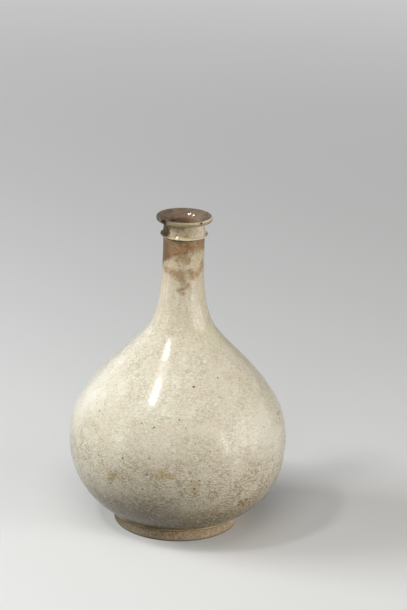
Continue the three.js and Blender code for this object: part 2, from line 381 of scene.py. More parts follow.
def foot_outline():
    rim = FOOT_TOP_RADIUS - FOOT_TAPER
    bore_top = FOOT_TOP_RADIUS - FOOT_WALL
    bore_low = bore_top + 1 * MM
    outside = curve(
        [(rim + 0.1 * MM, 1.3 * MM), (rim + 0.6 * MM, 5 * MM), (FOOT_TOP_RADIUS, FOOT_TOP - 0.5 * MM)], 14
    )
    return [
        *curve([(bore_low, 1 * MM), (bore_low + 0.3 * MM, 0.1 * MM), (bore_low + 1 * MM, 0)], 4),
        *straight((bore_low + 1.6 * MM, 0), (rim - 1.5 * MM, 0), 8),
        *curve([(rim - 0.9 * MM, 0), (rim - 0.1 * MM, 0.15 * MM), (rim, 1 * MM)], 6),
        *outside,
        (FOOT_TOP_RADIUS - 0.4 * MM, FOOT_TOP),
        (FOOT_TOP_RADIUS - 1.4 * MM, FOOT_TOP),
        (bore_top, FOOT_TOP),
        *straight((bore_top, FOOT_TOP - 0.6 * MM), (bore_low - 0.05 * MM, 1.6 * MM), 6),
        (bore_low, 1 * MM),
    ]


def foot_slip_outline():
    outer, inner = FOOT_TOP_RADIUS - 0.5 * MM, FOOT_TOP_RADIUS - FOOT_WALL
    return [(outer, FOOT_TOP), (outer, SEAT_Z), (inner, SEAT_Z), (inner, FOOT_TOP), (outer, FOOT_TOP)]


def lower_outline(form):
    outer, inner = sides(form)
    underside = SEAT_Z - BOSS_DEPTH
    boss = FOOT_TOP_RADIUS - FOOT_WALL - CLEARANCE
    below, _, _ = lap_points(form, BELLY_JOINT)
    glaze_top = BELLY_JOINT + SLIP
    wall_start = inner.heights[0]
    edge = (inner.radii[0], wall_start)
    approach = np.array(edge) - heading(form.base_flare) * form.base_wall
    floor_z = underside + form.floor_thickness
    floor = curve([(0, floor_z), (edge[0] / 2, floor_z), tuple(approach), edge], 16)
    return [
        (0, underside),
        *straight((boss / 4, underside), (boss, underside), 6),
        (boss, SEAT_Z),
        (form.seat_radius - 1.6 * MM, SEAT_Z),
        *curve(
            [
                (form.seat_radius - 0.8 * MM, SEAT_Z),
                (form.seat_radius - 0.2 * MM, SEAT_Z + 0.02 * MM),
                (outer.radius(SEAT_Z + 0.25 * MM), SEAT_Z + 0.25 * MM),
            ],
            5,
        ),
        *outer.run(SEAT_Z + 0.35 * MM, glaze_top, form.row),
        (outer.radius(glaze_top) - SKIN, glaze_top),
        *below,
        *inner.run(BELLY_JOINT + LAP_RISE, wall_start, 3 * form.row)[1:],
        *floor[::-1][1:],
    ]


def upper_outline(form):
    outer, inner = sides(form)
    _, above, _ = lap_points(form, BELLY_JOINT)
    below, _, _ = lap_points(form, NECK_JOINT)
    start, end = BELLY_JOINT + SLIP, NECK_JOINT + SLIP
    inner_run = inner.run(NECK_JOINT + LAP_RISE, BELLY_JOINT + LAP_RISE + SLIP, 3 * form.row)
    return [
        *above,
        *outer.run(start, end, form.row),
        (outer.radius(end) - SKIN, end),
        *below,
        *inner_run[1:],
    ]


def neck_outline(form):
    outer, inner = sides(form)
    _, above, _ = lap_points(form, NECK_JOINT)
    tongue = tongue_radius(form.bore_radius, WAIST_RADIUS)
    tip = WAIST_Z + LAP_RISE
    return [
        *above,
        *outer.run(NECK_JOINT + SLIP, COLLAR_Z, form.row),
        (tongue, COLLAR_Z),
        (tongue, tip),
        (form.bore_radius, tip),
        *straight((form.bore_radius, tip - MM), (form.bore_radius, COLLAR_Z), 3),
        *inner.run(COLLAR_Z, NECK_JOINT + LAP_RISE + SLIP, 3 * form.row)[1:],
    ]


def collar_slip_outline(form):
    inner = tongue_radius(form.bore_radius, WAIST_RADIUS) + CLEARANCE
    outer = NECK_RADIUS - 0.15 * MM
    top_z = COLLAR_Z + SLIP
    return [(inner, COLLAR_Z), (outer, COLLAR_Z), (outer, top_z), (inner, top_z), (inner, COLLAR_Z)]


def collar_outline(form):
    inner = tongue_radius(form.bore_radius, WAIST_RADIUS) + CLEARANCE
    ridge_z = COLLAR_Z + RIDGE_RISE
    centre = (RIDGE_RADIUS - RIDGE_ROUND, ridge_z)
    return [
        (inner, COLLAR_Z + SLIP),
        (NECK_RADIUS - 0.05 * MM, COLLAR_Z + SLIP),
        *curve(
            [
                (NECK_RADIUS, COLLAR_Z + SLIP),
                (NECK_RADIUS + 1.0 * MM, COLLAR_Z + SLIP),
                (centre[0] - 0.2 * MM, ridge_z - RIDGE_ROUND),
            ],
            6,
        ),
        *arc(centre, RIDGE_ROUND, -80, 70, 8),
        *curve(
            [
                (centre[0] - 0.1 * MM, ridge_z + RIDGE_ROUND + 0.05 * MM),
                (WAIST_RADIUS + 0.2 * MM, ridge_z + 0.9 * MM),
                (WAIST_RADIUS, WAIST_Z - 0.3 * MM),
            ],
            10,
        ),
        (WAIST_RADIUS, WAIST_Z - 0.12 * MM),
        (WAIST_RADIUS, WAIST_Z),
        (inner, WAIST_Z),
        (inner, COLLAR_Z + SLIP),
    ]


def mouth_slip_outline(form):
    inner = tongue_radius(form.bore_radius, WAIST_RADIUS)
    tip = WAIST_Z + LAP_RISE
    sleeve = inner + SLIP + 2 * CLEARANCE
    outer = WAIST_RADIUS - SKIN
    return [
        (outer, WAIST_Z),
        (outer, WAIST_Z + SLIP),
        (sleeve - CLEARANCE, WAIST_Z + SLIP),
        (sleeve - CLEARANCE, tip + SLIP),
        (form.bore_radius, tip + SLIP),
        (form.bore_radius, tip),
        (inner + CLEARANCE, tip),
        (inner + CLEARANCE, WAIST_Z),
        (outer, WAIST_Z),
    ]


def mouth_outline(form):
    flange_z = LIP_Z - FLANGE_THICKNESS
    inner = tongue_radius(form.bore_radius, WAIST_RADIUS)
    sleeve = inner + SLIP + 2 * CLEARANCE
    tip = WAIST_Z + LAP_RISE
    bore = form.bore_radius
    lip = FLANGE_RADIUS - LIP_ROUND
    throat = LIP_Z - form.dish_depth
    return [
        (bore, tip + SLIP),
        (sleeve, tip + SLIP),
        (sleeve, WAIST_Z + SLIP),
        (WAIST_RADIUS - SKIN, WAIST_Z + SLIP),
        (WAIST_RADIUS - SKIN, WAIST_Z),
        (WAIST_RADIUS, WAIST_Z),
        (WAIST_RADIUS, WAIST_Z + 0.12 * MM),
        *curve(
            [
                (WAIST_RADIUS - 0.02 * MM, WAIST_Z + 0.4 * MM),
                (WAIST_RADIUS - 0.45 * MM, WAIST_Z + 3.5 * MM),
                (WAIST_RADIUS, flange_z - 2.6 * MM),
            ],
            8,
        ),
        *curve(
            [
                (WAIST_RADIUS + 0.1 * MM, flange_z - 2.2 * MM),
                (WAIST_RADIUS + 0.2 * MM, flange_z),
                (WAIST_RADIUS + 2.6 * MM, flange_z + 0.02 * MM),
            ],
            8,
        ),
        *straight((WAIST_RADIUS + 3.2 * MM, flange_z + 0.03 * MM), (lip - 0.3 * MM, flange_z + 0.02 * MM), 4),
        *arc((lip, flange_z + LIP_ROUND), LIP_ROUND, -85, 0, 8),
        *arc((lip, LIP_Z - LIP_ROUND), LIP_ROUND, 5, 90, 9),
        *curve(
            [
                (lip - 0.5 * MM, LIP_Z - 0.02 * MM),
                (lip - 1.3 * MM, LIP_Z - 0.1 * MM),
                ((lip + bore) / 2 + 1.5 * MM, throat + 1.8 * MM),
                (bore + 2.5 * MM, throat + 0.4 * MM),
                (bore + 0.1 * MM, throat - 0.2 * MM),
                (bore, throat - 2 * MM),
            ],
            30,
        ),
        *straight((bore, throat - 2.6 * MM), (bore, tip + SLIP), 3),
    ]


def skirt_outline(drop):
    """The bead of glaze over the foot; a point's weight is how much of the ragged edge it takes."""
    upper, lower = SEAT_Z + 0.15 * MM, SEAT_Z - drop
    bead_z = SEAT_Z * 0.35 + lower * 0.65
    out = FOOT_TOP_RADIUS + 0.9 * MM
    face = curve(
        [
            (FOOT_TOP_RADIUS + 0.35 * MM, upper),
            (out - 0.1 * MM, upper - 0.1 * MM),
            (out, bead_z + 0.3 * MM),
            (out, bead_z - 0.5 * MM),
            (out - 0.5 * MM, lower),
        ],
        14,
    )
    spread = max(upper - lower, 0.1 * MM)
    points = [(r, z, min(1.0, 1.25 * (upper - z) / spread)) for r, z in face]
    points.append((FOOT_TOP_RADIUS - 0.1 * MM, lower - 0.05 * MM, 1.0))
    points.append((FOOT_TOP_RADIUS - 0.6 * MM, lower + 0.1 * MM, 0.8))
    points.append((FOOT_TOP_RADIUS - 0.6 * MM, upper - 0.2 * MM, 0.0))
    points.append(points[0])
    return points[::-1]


# Geometry Nodes


def new_tree(name, sockets):
    """A geometry tree with its named inputs; returns the tree and its group input and output nodes."""
    tree = bpy.data.node_groups.new(name, "GeometryNodeTree")
    tree.interface.new_socket(name="Geometry", in_out="INPUT", socket_type="NodeSocketGeometry")
    for label, kind in sockets:
        tree.interface.new_socket(name=label, in_out="INPUT", socket_type="NodeSocket" + kind)
    tree.interface.new_socket(name="Geometry", in_out="OUTPUT", socket_type="NodeSocketGeometry")
    return tree, tree.nodes.new("NodeGroupInput"), tree.nodes.new("NodeGroupOutput")


def kept_group(name, make):
    """A tree that is made the first time that it is asked for."""
    return bpy.data.node_groups.get(name) or make(name)


def end_tree(n, geometry, material, result):
    """Makes a tree's instances real and gives the result its material."""
    whole = n.add("GeometryNodeRealizeInstances", {"Geometry": geometry}).outputs[0]
    painted = n.add("GeometryNodeSetMaterial", {"Geometry": whole, "Material": material}).outputs[0]
    n.tree.links.new(painted, result.inputs[0])


def set_input(socket, value, tree):
    if isinstance(value, bpy.types.NodeSocket):
        tree.links.new(value, socket)
    elif value is not None:
        socket.default_value = value


class Nodes:
    """Short ways to add the nodes that the trees are made of."""

    def __init__(self, tree):
        self.tree = tree

    def add(self, kind, inputs=(), **settings):
        node = self.tree.nodes.new(kind)
        for key, value in settings.items():
            setattr(node, key, value)
        pairs = inputs.items() if isinstance(inputs, dict) else enumerate(inputs)
        for key, value in pairs:
            set_input(node.inputs[key], value, self.tree)
        return node

    def math(self, operation, *values, clamp=False):
        return self.add("ShaderNodeMath", values, operation=operation, use_clamp=clamp).outputs[0]

    def times(self, first, *others):
        """The product of masks and numbers."""
        product = first
        for other in others:
            product = self.math("MULTIPLY", product, other)
        return product

    def vector(self, operation, *values):
        node = self.add("ShaderNodeVectorMath", operation=operation)
        names = ("Vector", "Scale") if operation == "SCALE" else range(3)
        for key, value in zip(names, values):
            set_input(node.inputs[key], value, self.tree)
        return node.outputs["Value" if operation in ("LENGTH", "DISTANCE", "DOT_PRODUCT") else "Vector"]

    def split(self, vector):
        return self.add("ShaderNodeSeparateXYZ", [vector]).outputs

    def join(self, x, y, z):
        return self.add("ShaderNodeCombineXYZ", [x, y, z]).outputs[0]

    def in_cells(self, vector, size):
        """A place counted in cells of a size."""
        return self.vector("DIVIDE", vector, self.join(size, size, size))

    def noise_node(self, vector, scale, detail, roughness=0.5, distortion=0.0):
        inputs = {"Vector": vector, "Scale": scale, "Detail": detail, "Roughness": roughness}
        return self.add("ShaderNodeTexNoise", {**inputs, "Distortion": distortion}).outputs

    def noise(self, *settings):
        return self.noise_node(*settings)[0]

    def drift(self, *settings):
        """A soft random step to all sides."""
        return self.vector("SUBTRACT", self.noise_node(*settings)[1], (0.5, 0.5, 0.5))

    def ragged(self, noise, width):
        """A noise turned to a step up or down, as part of a width."""
        return self.times(self.math("SUBTRACT", noise, 0.5), width)

    def cells(self, vector, feature):
        """A pattern of random cells."""
        return self.add("ShaderNodeTexVoronoi", {"Vector": vector, "Scale": 1.0}, feature=feature).outputs

    def ramp(self, value, start, end, low=0.0, high=1.0, smooth=True):
        kind = "SMOOTHSTEP" if smooth else "LINEAR"
        node = self.add("ShaderNodeMapRange", interpolation_type=kind, clamp=True)
        names = ("Value", "From Min", "From Max", "To Min", "To Max")
        for key, number in zip(names, (value, start, end, low, high)):
            set_input(node.inputs[key], number, self.tree)
        return node.outputs[0]

    def between(self, mask, low, high):
        """A mask that goes from one number to another, in the place of 0 to 1."""
        return self.ramp(mask, 0.0, 1.0, low, high)

    def curve(self, value, points):
        """A smooth curve through a few points, each as (value, result) between 0 and 1."""
        node = self.add("ShaderNodeFloatCurve", {"Value": value})
        line = node.mapping.curves[0].points
        for spot, point in enumerate(points):
            if spot < 2:
                line[spot].location = point
            else:
                line.new(*point)
        node.mapping.update()
        return node.outputs[0]

    def blend(self, factor, first, second):
        """One colour turning into another as the factor goes from 0 to 1."""
        node = self.tree.nodes.new("ShaderNodeMix")
        node.data_type = "RGBA"
        set_input(node.inputs[0], factor, self.tree)
        for socket, value in ((node.inputs[6], first), (node.inputs[7], second)):
            if isinstance(value, bpy.types.NodeSocket):
                self.tree.links.new(value, socket)
            else:
                socket.default_value = (*value, 1)
        return node.outputs[2]

    def paint(self, ground, coat, *masks):
        """A coat of colour on a ground, where all the masks let it through."""
        return self.blend(self.times(*masks), ground, coat)

    def group(self, tree, inputs):
        node = self.tree.nodes.new("ShaderNodeGroup")
        node.node_tree = tree
        for key, value in inputs.items():
            set_input(node.inputs[key], value, self.tree)
        return node.outputs


# (share of the height, share of the lean: 0.5 is upright) of the bend of the axis
LEAN_POINTS = (
    (0.0, 0.5),
    (0.04, 0.52),
    (0.075, 0.86),
    (0.15, 0.8),
    (0.25, 0.55),
    (0.35, 0.5),
    (0.567, 0.82),
    (0.767, 0.66),
    (1.0, 0.5),
)
# Area of the foot that the count of grains is spread over, in square metres
GRIT_AREA = 0.0045
GRIT_CLEAR_OF_FLOOR = 1.2 * MM


def turned_tree(name):
    """Turns the outline that the object's points give about the Z axis, as clay on a wheel."""
    tree, given, result = new_tree(
        name,
        [
            ("Segments", "Int"),
            ("Wobble", "Float"),
            ("Wobble Size", "Float"),
            ("Ring Depth", "Float"),
            ("Ring Spacing", "Float"),
            ("Lean", "Float"),
            ("Ragged Edge", "Float"),
            ("Uneven", "Float"),
            ("Seed", "Int"),
            ("Material", "Material"),
        ],
    )
    n = Nodes(tree)
    pin = given.outputs
    size = n.add("GeometryNodeAttributeDomainSize", [pin["Geometry"]], component="MESH")
    columns = n.math("ADD", pin["Segments"], 1)
    counts = {"Vertices X": size.outputs["Point Count"], "Vertices Y": columns}
    grid = n.add("GeometryNodeMeshGrid", counts).outputs["Mesh"]
    index = n.add("GeometryNodeInputIndex").outputs[0]
    row = n.math("FLOOR", n.math("DIVIDE", n.math("ADD", index, 0.5), columns))
    column = n.math("SUBTRACT", index, n.math("MULTIPLY", row, columns))
    place = n.add("GeometryNodeInputPosition").outputs[0]
    source = {"Geometry": pin["Geometry"], "Value": place, "Index": row}
    pick = n.add("GeometryNodeSampleIndex", data_type="FLOAT_VECTOR", domain="POINT")
    for key, value in source.items():
        set_input(pick.inputs[key], value, tree)
    radius, weight, height = n.split(pick.outputs[0])
    turned_by = n.times(n.math("DIVIDE", column, pin["Segments"]), TAU)
    sine, cosine = n.math("SINE", turned_by), n.math("COSINE", turned_by)

    # ragged edge of the glaze: the noise runs round the bottle, so it closes on itself
    around = n.vector("SCALE", n.join(sine, cosine, pin["Seed"]), 2.3)
    coarse = n.noise(around, 1.0, 4.0, 0.62)
    uneven_end = n.times(n.math("SUBTRACT", coarse, 0.55), 4.0, pin["Ragged Edge"])
    lifted = n.math("ADD", height, n.times(weight, uneven_end))
    thicker = n.math("SUBTRACT", 0.5, n.times(sine, 0.5))
    wide = n.math("ADD", radius, n.times(weight, pin["Uneven"], thicker))
    turned = n.join(n.times(wide, sine), n.times(wide, cosine, -1.0), lifted)
    shaped = n.add("GeometryNodeSetPosition", {"Geometry": grid, "Position": turned}).outputs[0]
    kept = n.add(
        "GeometryNodeStoreNamedAttribute",
        {"Geometry": shaped, "Name": "edge", "Value": weight},
        data_type="FLOAT",
        domain="POINT",
    ).outputs[0]
    closed = n.add("GeometryNodeMergeByDistance", {"Geometry": kept, "Distance": 1e-6}).outputs[0]

    # the thrown wall: soft hollows, the rings of the fingers and a lean to one side, all by place alone
    x, y, z = n.split(place)
    outward = n.vector("NORMALIZE", n.join(x, y, 0.0))
    seeded = n.vector("ADD", n.in_cells(place, pin["Wobble Size"]), n.join(pin["Seed"], 0.0, 0.0))
    hollow = n.times(n.noise(seeded, 1.0, 1.5, 0.45), pin["Wobble"])
    drift = n.times(n.noise(seeded, 1.7, 1.0), 9.0)
    turns = n.times(n.math("DIVIDE", z, pin["Ring Spacing"]), TAU)
    wave = n.math("ADD", n.times(n.math("SINE", n.math("ADD", turns, drift)), 0.5), 0.5)
    inward = n.math("ADD", hollow, n.times(wave, pin["Ring Depth"]))
    bend = n.math("SUBTRACT", n.curve(n.math("DIVIDE", z, LIP_Z), LEAN_POINTS), 0.5)
    sideways = n.join(n.times(bend, 2.0, pin["Lean"]), 0.0, 0.0)
    offset = n.vector("ADD", n.vector("SCALE", outward, n.times(inward, -1.0)), sideways)
    thrown = n.add("GeometryNodeSetPosition", {"Geometry": closed, "Offset": offset}).outputs[0]

    angles = n.add("GeometryNodeInputMeshEdgeAngle").outputs[0]
    sharp = n.add("FunctionNodeCompare", [angles, CREASE], data_type="FLOAT", operation="GREATER_THAN")
    smooth = n.add("GeometryNodeSetShadeSmooth", {"Geometry": thrown, "Shade Smooth": True}, domain="FACE")
    creases = {"Geometry": smooth.outputs[0], "Selection": sharp.outputs[0], "Shade Smooth": False}
    creased = n.add("GeometryNodeSetShadeSmooth", creases, domain="EDGE").outputs[0]
    end_tree(n, creased, pin["Material"], result)
    return tree


def grit_tree(name):
    """Grains of kiln sand fused to a surface, more of them near the plane that it stands on."""
    tree, given, result = new_tree(
        name,
        [
            ("Count", "Int"),
            ("Grain Size", "Float"),
            ("Height", "Float"),
            ("Seed", "Int"),
            ("Material", "Material"),
        ],
    )
    n = Nodes(tree)
    pin = given.outputs
    place = n.add("GeometryNodeInputPosition").outputs[0]
    height = n.split(place)[2]
    low = n.ramp(height, 0.0, pin["Height"], 1.0, 0.02, smooth=False)
    clear = n.math("GREATER_THAN", height, GRIT_CLEAR_OF_FLOOR)
    normal = n.add("GeometryNodeInputNormal").outputs[0]
    facing = n.math("GREATER_THAN", n.vector("DOT_PRODUCT", normal, n.vector("NORMALIZE", place)), 0.2)
    where = {
        "Mesh": pin["Geometry"],
        "Selection": n.times(facing, clear),
        "Density": n.times(n.math("DIVIDE", pin["Count"], GRIT_AREA), low),
        "Seed": pin["Seed"],
    }
    scatter = n.add("GeometryNodeDistributePointsOnFaces", where, distribute_method="RANDOM").outputs
    grain = n.add("GeometryNodeMeshIcoSphere", {"Radius": 0.5, "Subdivisions": 1}).outputs[0]
    size = n.add("FunctionNodeRandomValue", data_type="FLOAT")
    size.inputs[2].default_value = 0.35
    size.inputs[3].default_value = 1.0
    set_input(size.inputs["Seed"], pin["Seed"], tree)
    flat = n.join(1.0, 0.8, 0.55)
    scale = n.vector("SCALE", flat, n.times(size.outputs[1], pin["Grain Size"]))
    grains = {"Points": scatter["Points"], "Instance": grain, "Rotation": scatter["Rotation"], "Scale": scale}
    stuck = n.add("GeometryNodeInstanceOnPoints", grains).outputs[0]
    end_tree(n, stuck, pin["Material"], result)
    return tree


def grow(piece, tree, values):
    """Runs a tree on a piece with the given inputs and keeps the result as a plain mesh."""
    modifier = piece.modifiers.new(tree.name, "NODES")
    modifier.node_group = tree
    for item in tree.interface.items_tree:
        if item.item_type == "SOCKET" and item.in_out == "INPUT" and item.name in values:
            modifier[item.identifier] = values[item.name]
    bpy.context.view_layer.update()
    graph = bpy.context.evaluated_depsgraph_get()
    grown = bpy.data.meshes.new_from_object(piece.evaluated_get(graph), depsgraph=graph)
    piece.modifiers.remove(modifier)
    old = piece.data
    piece.data = grown
    bpy.data.meshes.remove(old)
    grown.name = piece.name


def enclosed(mesh):
    """The volume that a mesh encloses; it is negative where the faces point inwards."""
    form = bmesh.new()
    form.from_mesh(mesh)
    open_edges = sum(1 for edge in form.edges if len(edge.link_faces) != 2)
    volume = form.calc_volume(signed=True)
    form.free()
    if open_edges:
        raise RuntimeError(f"{mesh.name} has {open_edges} open edges")
    return volume


def face_outwards(piece):
    if enclosed(piece.data) < 0:
        piece.data.flip_normals()


def piece_from(name, points):
    mesh = bpy.data.meshes.new(name)
    mesh.from_pydata(points, [], [])
    piece = bpy.data.objects.new(name, mesh)
    bpy.context.scene.collection.objects.link(piece)
    return piece


def turn(name, outline, material, form, ragged=0.0, uneven=0.0):
    """A section turned from its outline, closed and facing outwards."""
    points = [(p[0], p[2] if len(p) > 2 else 0.0, p[1]) for p in outline]
    piece = piece_from(name, points)
    values = {
        "Segments": form.segments,
        "Wobble": form.wobble,
        "Wobble Size": form.wobble_size,
        "Ring Depth": form.ring_depth,
        "Ring Spacing": form.ring_spacing,
        "Lean": form.lean,
        "Ragged Edge": ragged,
        "Uneven": uneven,
        "Seed": form.seed,
        "Material": material,
    }
    grow(piece, kept_group("Turned Section", turned_tree), values)
    face_outwards(piece)
    return piece


def settle(piece, slot, *nodes):
    """Hands a finished piece to the frame."""
    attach(piece, BODY)
    if nodes:
        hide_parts(*nodes)


# Shader groups


def shader_group(name, vectors, numbers, outputs):
    """A group of shader nodes, with the names of its vectors and outputs, and its numbers' first values."""
    tree = bpy.data.node_groups.new(name, "ShaderNodeTree")
    for label in vectors:
        tree.interface.new_socket(name=label, in_out="INPUT", socket_type="NodeSocketVector")
    for label, value in numbers.items():
        socket = tree.interface.new_socket(name=label, in_out="INPUT", socket_type="NodeSocketFloat")
        socket.default_value = value
    for label in outputs:
        tree.interface.new_socket(name=label, in_out="OUTPUT", socket_type="NodeSocketFloat")
    return tree, tree.nodes.new("NodeGroupInput").outputs, tree.nodes.new("NodeGroupOutput").inputs

def crackle_group(name):
    """A net of fine cracks in a glaze: the lines, and a random tone for each cell between them."""
    numbers = {"Cell": 0.003, "Line": 0.08, "Squash": 1.5}
    tree, pin, out = shader_group(name, ["Vector"], numbers, ["Lines", "Tone"])
    n = Nodes(tree)
    bent = n.vector("SCALE", n.drift(pin["Vector"], 260.0, 2.0, 0.5), n.times(pin["Cell"], 0.55))
    squashed = n.vector("MULTIPLY", n.vector("ADD", pin["Vector"], bent), n.join(1.0, 1.0, pin["Squash"]))
    counted = n.in_cells(squashed, pin["Cell"])
    edge = n.cells(counted, "DISTANCE_TO_EDGE")[0]
    width = n.times(pin["Line"], n.ramp(n.noise(pin["Vector"], 90.0, 2.0), 0.3, 0.7, 0.35, 1.5))
    tree.links.new(n.ramp(edge, 0.0, width, 1.0, 0.0), out["Lines"])
    tree.links.new(n.split(n.cells(counted, "F1")["Color"])[0], out["Tone"])
    return tree


def cloud_group(name):
    """Soft clouds of one tone in another."""
    numbers = {"Size": 0.03, "Low": 0.35, "High": 0.65}
    tree, pin, out = shader_group(name, ["Vector"], numbers, ["Mask"])
    n = Nodes(tree)
    counted = n.in_cells(pin["Vector"], pin["Size"])
    tree.links.new(n.ramp(n.noise(counted, 1.0, 4.0, 0.6, 0.3), pin["Low"], pin["High"]), out["Mask"])
    return tree


def patch_group(name):
    """A soft-edged patch about a centre, with a ragged outline."""
    numbers = {"Ragged": 0.5, "Grain": 0.004, "Soft": 0.6}
    tree, pin, out = shader_group(name, ["Vector", "Centre", "Reach"], numbers, ["Mask"])
    n = Nodes(tree)
    drift = n.drift(n.in_cells(pin["Vector"], n.times(pin["Grain"], 2.0)), 1.0, 2.0, 0.5)
    bend = n.vector("SCALE", drift, n.times(pin["Ragged"], 3.2))
    apart = n.vector("DIVIDE", n.vector("SUBTRACT", pin["Vector"], pin["Centre"]), pin["Reach"])
    away = n.vector("LENGTH", n.vector("ADD", apart, bend))
    rough = n.noise(n.in_cells(pin["Vector"], pin["Grain"]), 1.0, 3.0, 0.65)
    edge = n.math("ADD", away, n.ragged(rough, n.times(pin["Ragged"], 2.0)))
    tree.links.new(n.ramp(edge, n.math("SUBTRACT", 1.0, pin["Soft"]), 1.0, 1.0, 0.0), out["Mask"])
    return tree


def speck_group(name):
    """Fine specks strewn at random."""
    numbers = {"Spacing": 0.004, "Size": 0.15, "Share": 0.3}
    tree, pin, out = shader_group(name, ["Vector"], numbers, ["Mask"])
    n = Nodes(tree)
    cell = n.cells(n.in_cells(pin["Vector"], pin["Spacing"]), "F1")
    chance = n.split(cell["Color"])
    size = n.times(pin["Size"], n.ramp(chance[1], 0.0, 1.0, 0.5, 1.4, smooth=False))
    dot = n.ramp(cell["Distance"], n.times(size, 0.5), size, 1.0, 0.0)
    tree.links.new(n.times(dot, n.math("LESS_THAN", chance[0], pin["Share"])), out["Mask"])
    return tree


def moved(n, vector, seed):
    """The same place in another part of an endless pattern."""
    return n.vector("ADD", vector, (0.011 * seed, 0.007 * seed, 0.013 * seed))


def crackle(n, vector, cell, line, squash=1.5):
    values = {"Vector": vector, "Cell": cell, "Line": line, "Squash": squash}
    return n.group(kept_group("Glaze Crackle", crackle_group), values)


def clouds(n, vector, size, low, high):
    values = {"Vector": vector, "Size": size, "Low": low, "High": high}
    return n.group(kept_group("Glaze Clouds", cloud_group), values)["Mask"]


def patch(n, vector, centre, reach_by, ragged, grain, soft):
    values = {"Vector": vector, "Centre": centre, "Reach": reach_by}
    edge = {"Ragged": ragged, "Grain": grain, "Soft": soft}
    return n.group(kept_group("Kiln Patch", patch_group), {**values, **edge})["Mask"]


def specks(n, vector, spacing, size, chance):
    values = {"Vector": vector, "Spacing": spacing, "Size": size, "Share": chance}
    return n.group(kept_group("Fine Specks", speck_group), values)["Mask"]


# Where the marks of the kiln lie: (degrees round from the front, height in mm, size in mm)

IRON_SPOTS = (
    (12.3, 156.7, 1.7),
    (60.0, 175.0, 1.1),
    (35.7, 161.2, 1.1),
    (26.1, 190.7, 1.0),
    (10.5, 167.3, 0.8),
    (-2.8, 156.4, 0.8),
    (-10.4, 257.5, 1.2),
    (-13.2, 125.3, 1.3),
    (-28.5, 94.8, 1.4),
    (-13.8, 99.3, 1.0),
    (-14.7, 83.3, 1.3),
    (-16.9, 68.3, 1.4),
    (18.0, 106.3, 1.1),
    (9.9, 71.5, 1.5),
    (141.0, 128.0, 1.3),
    (-122.0, 110.0, 1.1),
    (170.0, 74.0, 1.2),
)
RUST_SPOTS = (
    (-21.1, 127.3, 1.3),
    (-25.2, 85.8, 0.9),
    (-32.1, 77.0, 1.3),
    (-36.2, 66.4, 1.5),
    (1.2, 132.5, 1.3),
    (5.1, 126.2, 1.0),
    (-1.8, 105.5, 1.0),
    (-4.6, 109.6, 0.8),
    (17.8, 92.7, 1.0),
    (8.4, 79.2, 1.3),
    (12.3, 79.8, 1.3),
    (10.5, 67.1, 1.4),
    (11.1, 63.1, 1.1),
    (14.8, 67.5, 1.0),
    (18.4, 77.3, 0.9),
    (-4.2, 72.8, 0.9),
    (-44.3, 90.5, 1.2),
    (-45.2, 79.4, 1.1),
    (-53.5, 126.2, 1.2),
    (-51.8, 132.8, 1.1),
    (-2.0, 59.7, 1.2),
    (2.4, 60.0, 1.1),
    (5.9, 58.9, 0.9),
    (-5.5, 65.8, 0.8),
    (78.0, 116.4, 2.4),
    (82.0, 116.0, 2.2),
    (77.5, 112.4, 1.4),
    (80.5, 109.0, 1.3),
    (56.4, 115.7, 1.2),
    (60.8, 82.1, 1.3),
    (128.0, 66.0, 1.5),
    (-150.0, 92.0, 1.4),
    (-98.0, 60.0, 1.3),
    (165.0, 120.0, 1.1),
)
OCHRE_PATCHES = (
    (-6.0, 84.5, 15.0, 8.6),
    (10.8, 73.0, 8.0, 10.0),
    (-34.6, 74.0, 9.0, 7.0),
    (42.0, 48.0, 10.0, 6.5),
    (115.0, 80.0, 15.0, 9.0),
    (-160.0, 66.0, 17.0, 10.0),
)
# smoother, whiter glaze at both sides of the belly
CALM_SIDES = (
    (-80.0, 126.0, 56.0, 46.0),
    (58.0, 110.0, 34.0, 40.0),
)
SCAR = (
    (38.6, 50.0, 2.6),
    (42.9, 50.4, 2.4),
    (42.5, 44.4, 3.0),
    (46.8, 45.6, 2.0),
    (38.4, 46.0, 2.2),
    (40.4, 47.6, 2.6),
)
# (degrees, height, size, radius) of the dark spots on the foot
FOOT_SPOTS = (
    (1.9, 9.6, 1.6, 60.6),
    (16.6, 5.0, 0.9, 59.8),
    (18.4, 3.9, 0.8, 59.5),
    (14.2, 3.2, 0.8, 59.3),
    (-96.0, 6.0, 1.2, 59.9),
)
# beads of glaze with a flat face on the collar and round the throat: (degrees, height, size, radius)
FACETS = (
    (-17.5, 284.4, 1.8, 20.4),
    (165.7, 296.8, 2.4, 16.7),
    (147.7, 296.3, 1.6, 15.6),
    (-148.2, 295.6, 0.5, 13.8),
)
FACET_NORMAL = (-0.258, -0.763, 0.593)
# (degrees round, height, half width, half height) of the stains on the neck, all but the first in mm
NECK_RUSSET = (
    (-58.0, 252.5, 7.5, 6.2),
    (-40.0, 251.0, 8.0, 6.4),
    (-22.0, 250.0, 7.0, 5.8),
    (30.0, 245.6, 5.6, 6.2),
    (41.0, 248.6, 6.0, 6.4),
    (54.0, 252.0, 6.0, 6.8),
    (66.0, 256.5, 6.0, 6.8),
    (-9.2, 235.0, 3.4, 4.6),
    (150.0, 252.0, 12.0, 6.0),
    (-140.0, 247.0, 11.0, 5.0),
)
NECK_OLIVE = (
    (-7.0, 250.0, 8.5, 6.4),
    (5.0, 247.8, 9.0, 6.8),
    (18.0, 250.6, 7.6, 5.2),
    (-1.0, 243.2, 8.0, 6.0),
    (-3.6, 236.6, 7.4, 7.4),
    (10.0, 238.0, 6.8, 6.4),
    (1.3, 232.2, 6.0, 5.0),
    (-5.8, 265.4, 8.0, 6.5),
    (9.0, 263.0, 8.5, 7.5),
    (-15.0, 262.8, 5.0, 5.0),
    (150.0, 240.0, 7.0, 5.0),
)
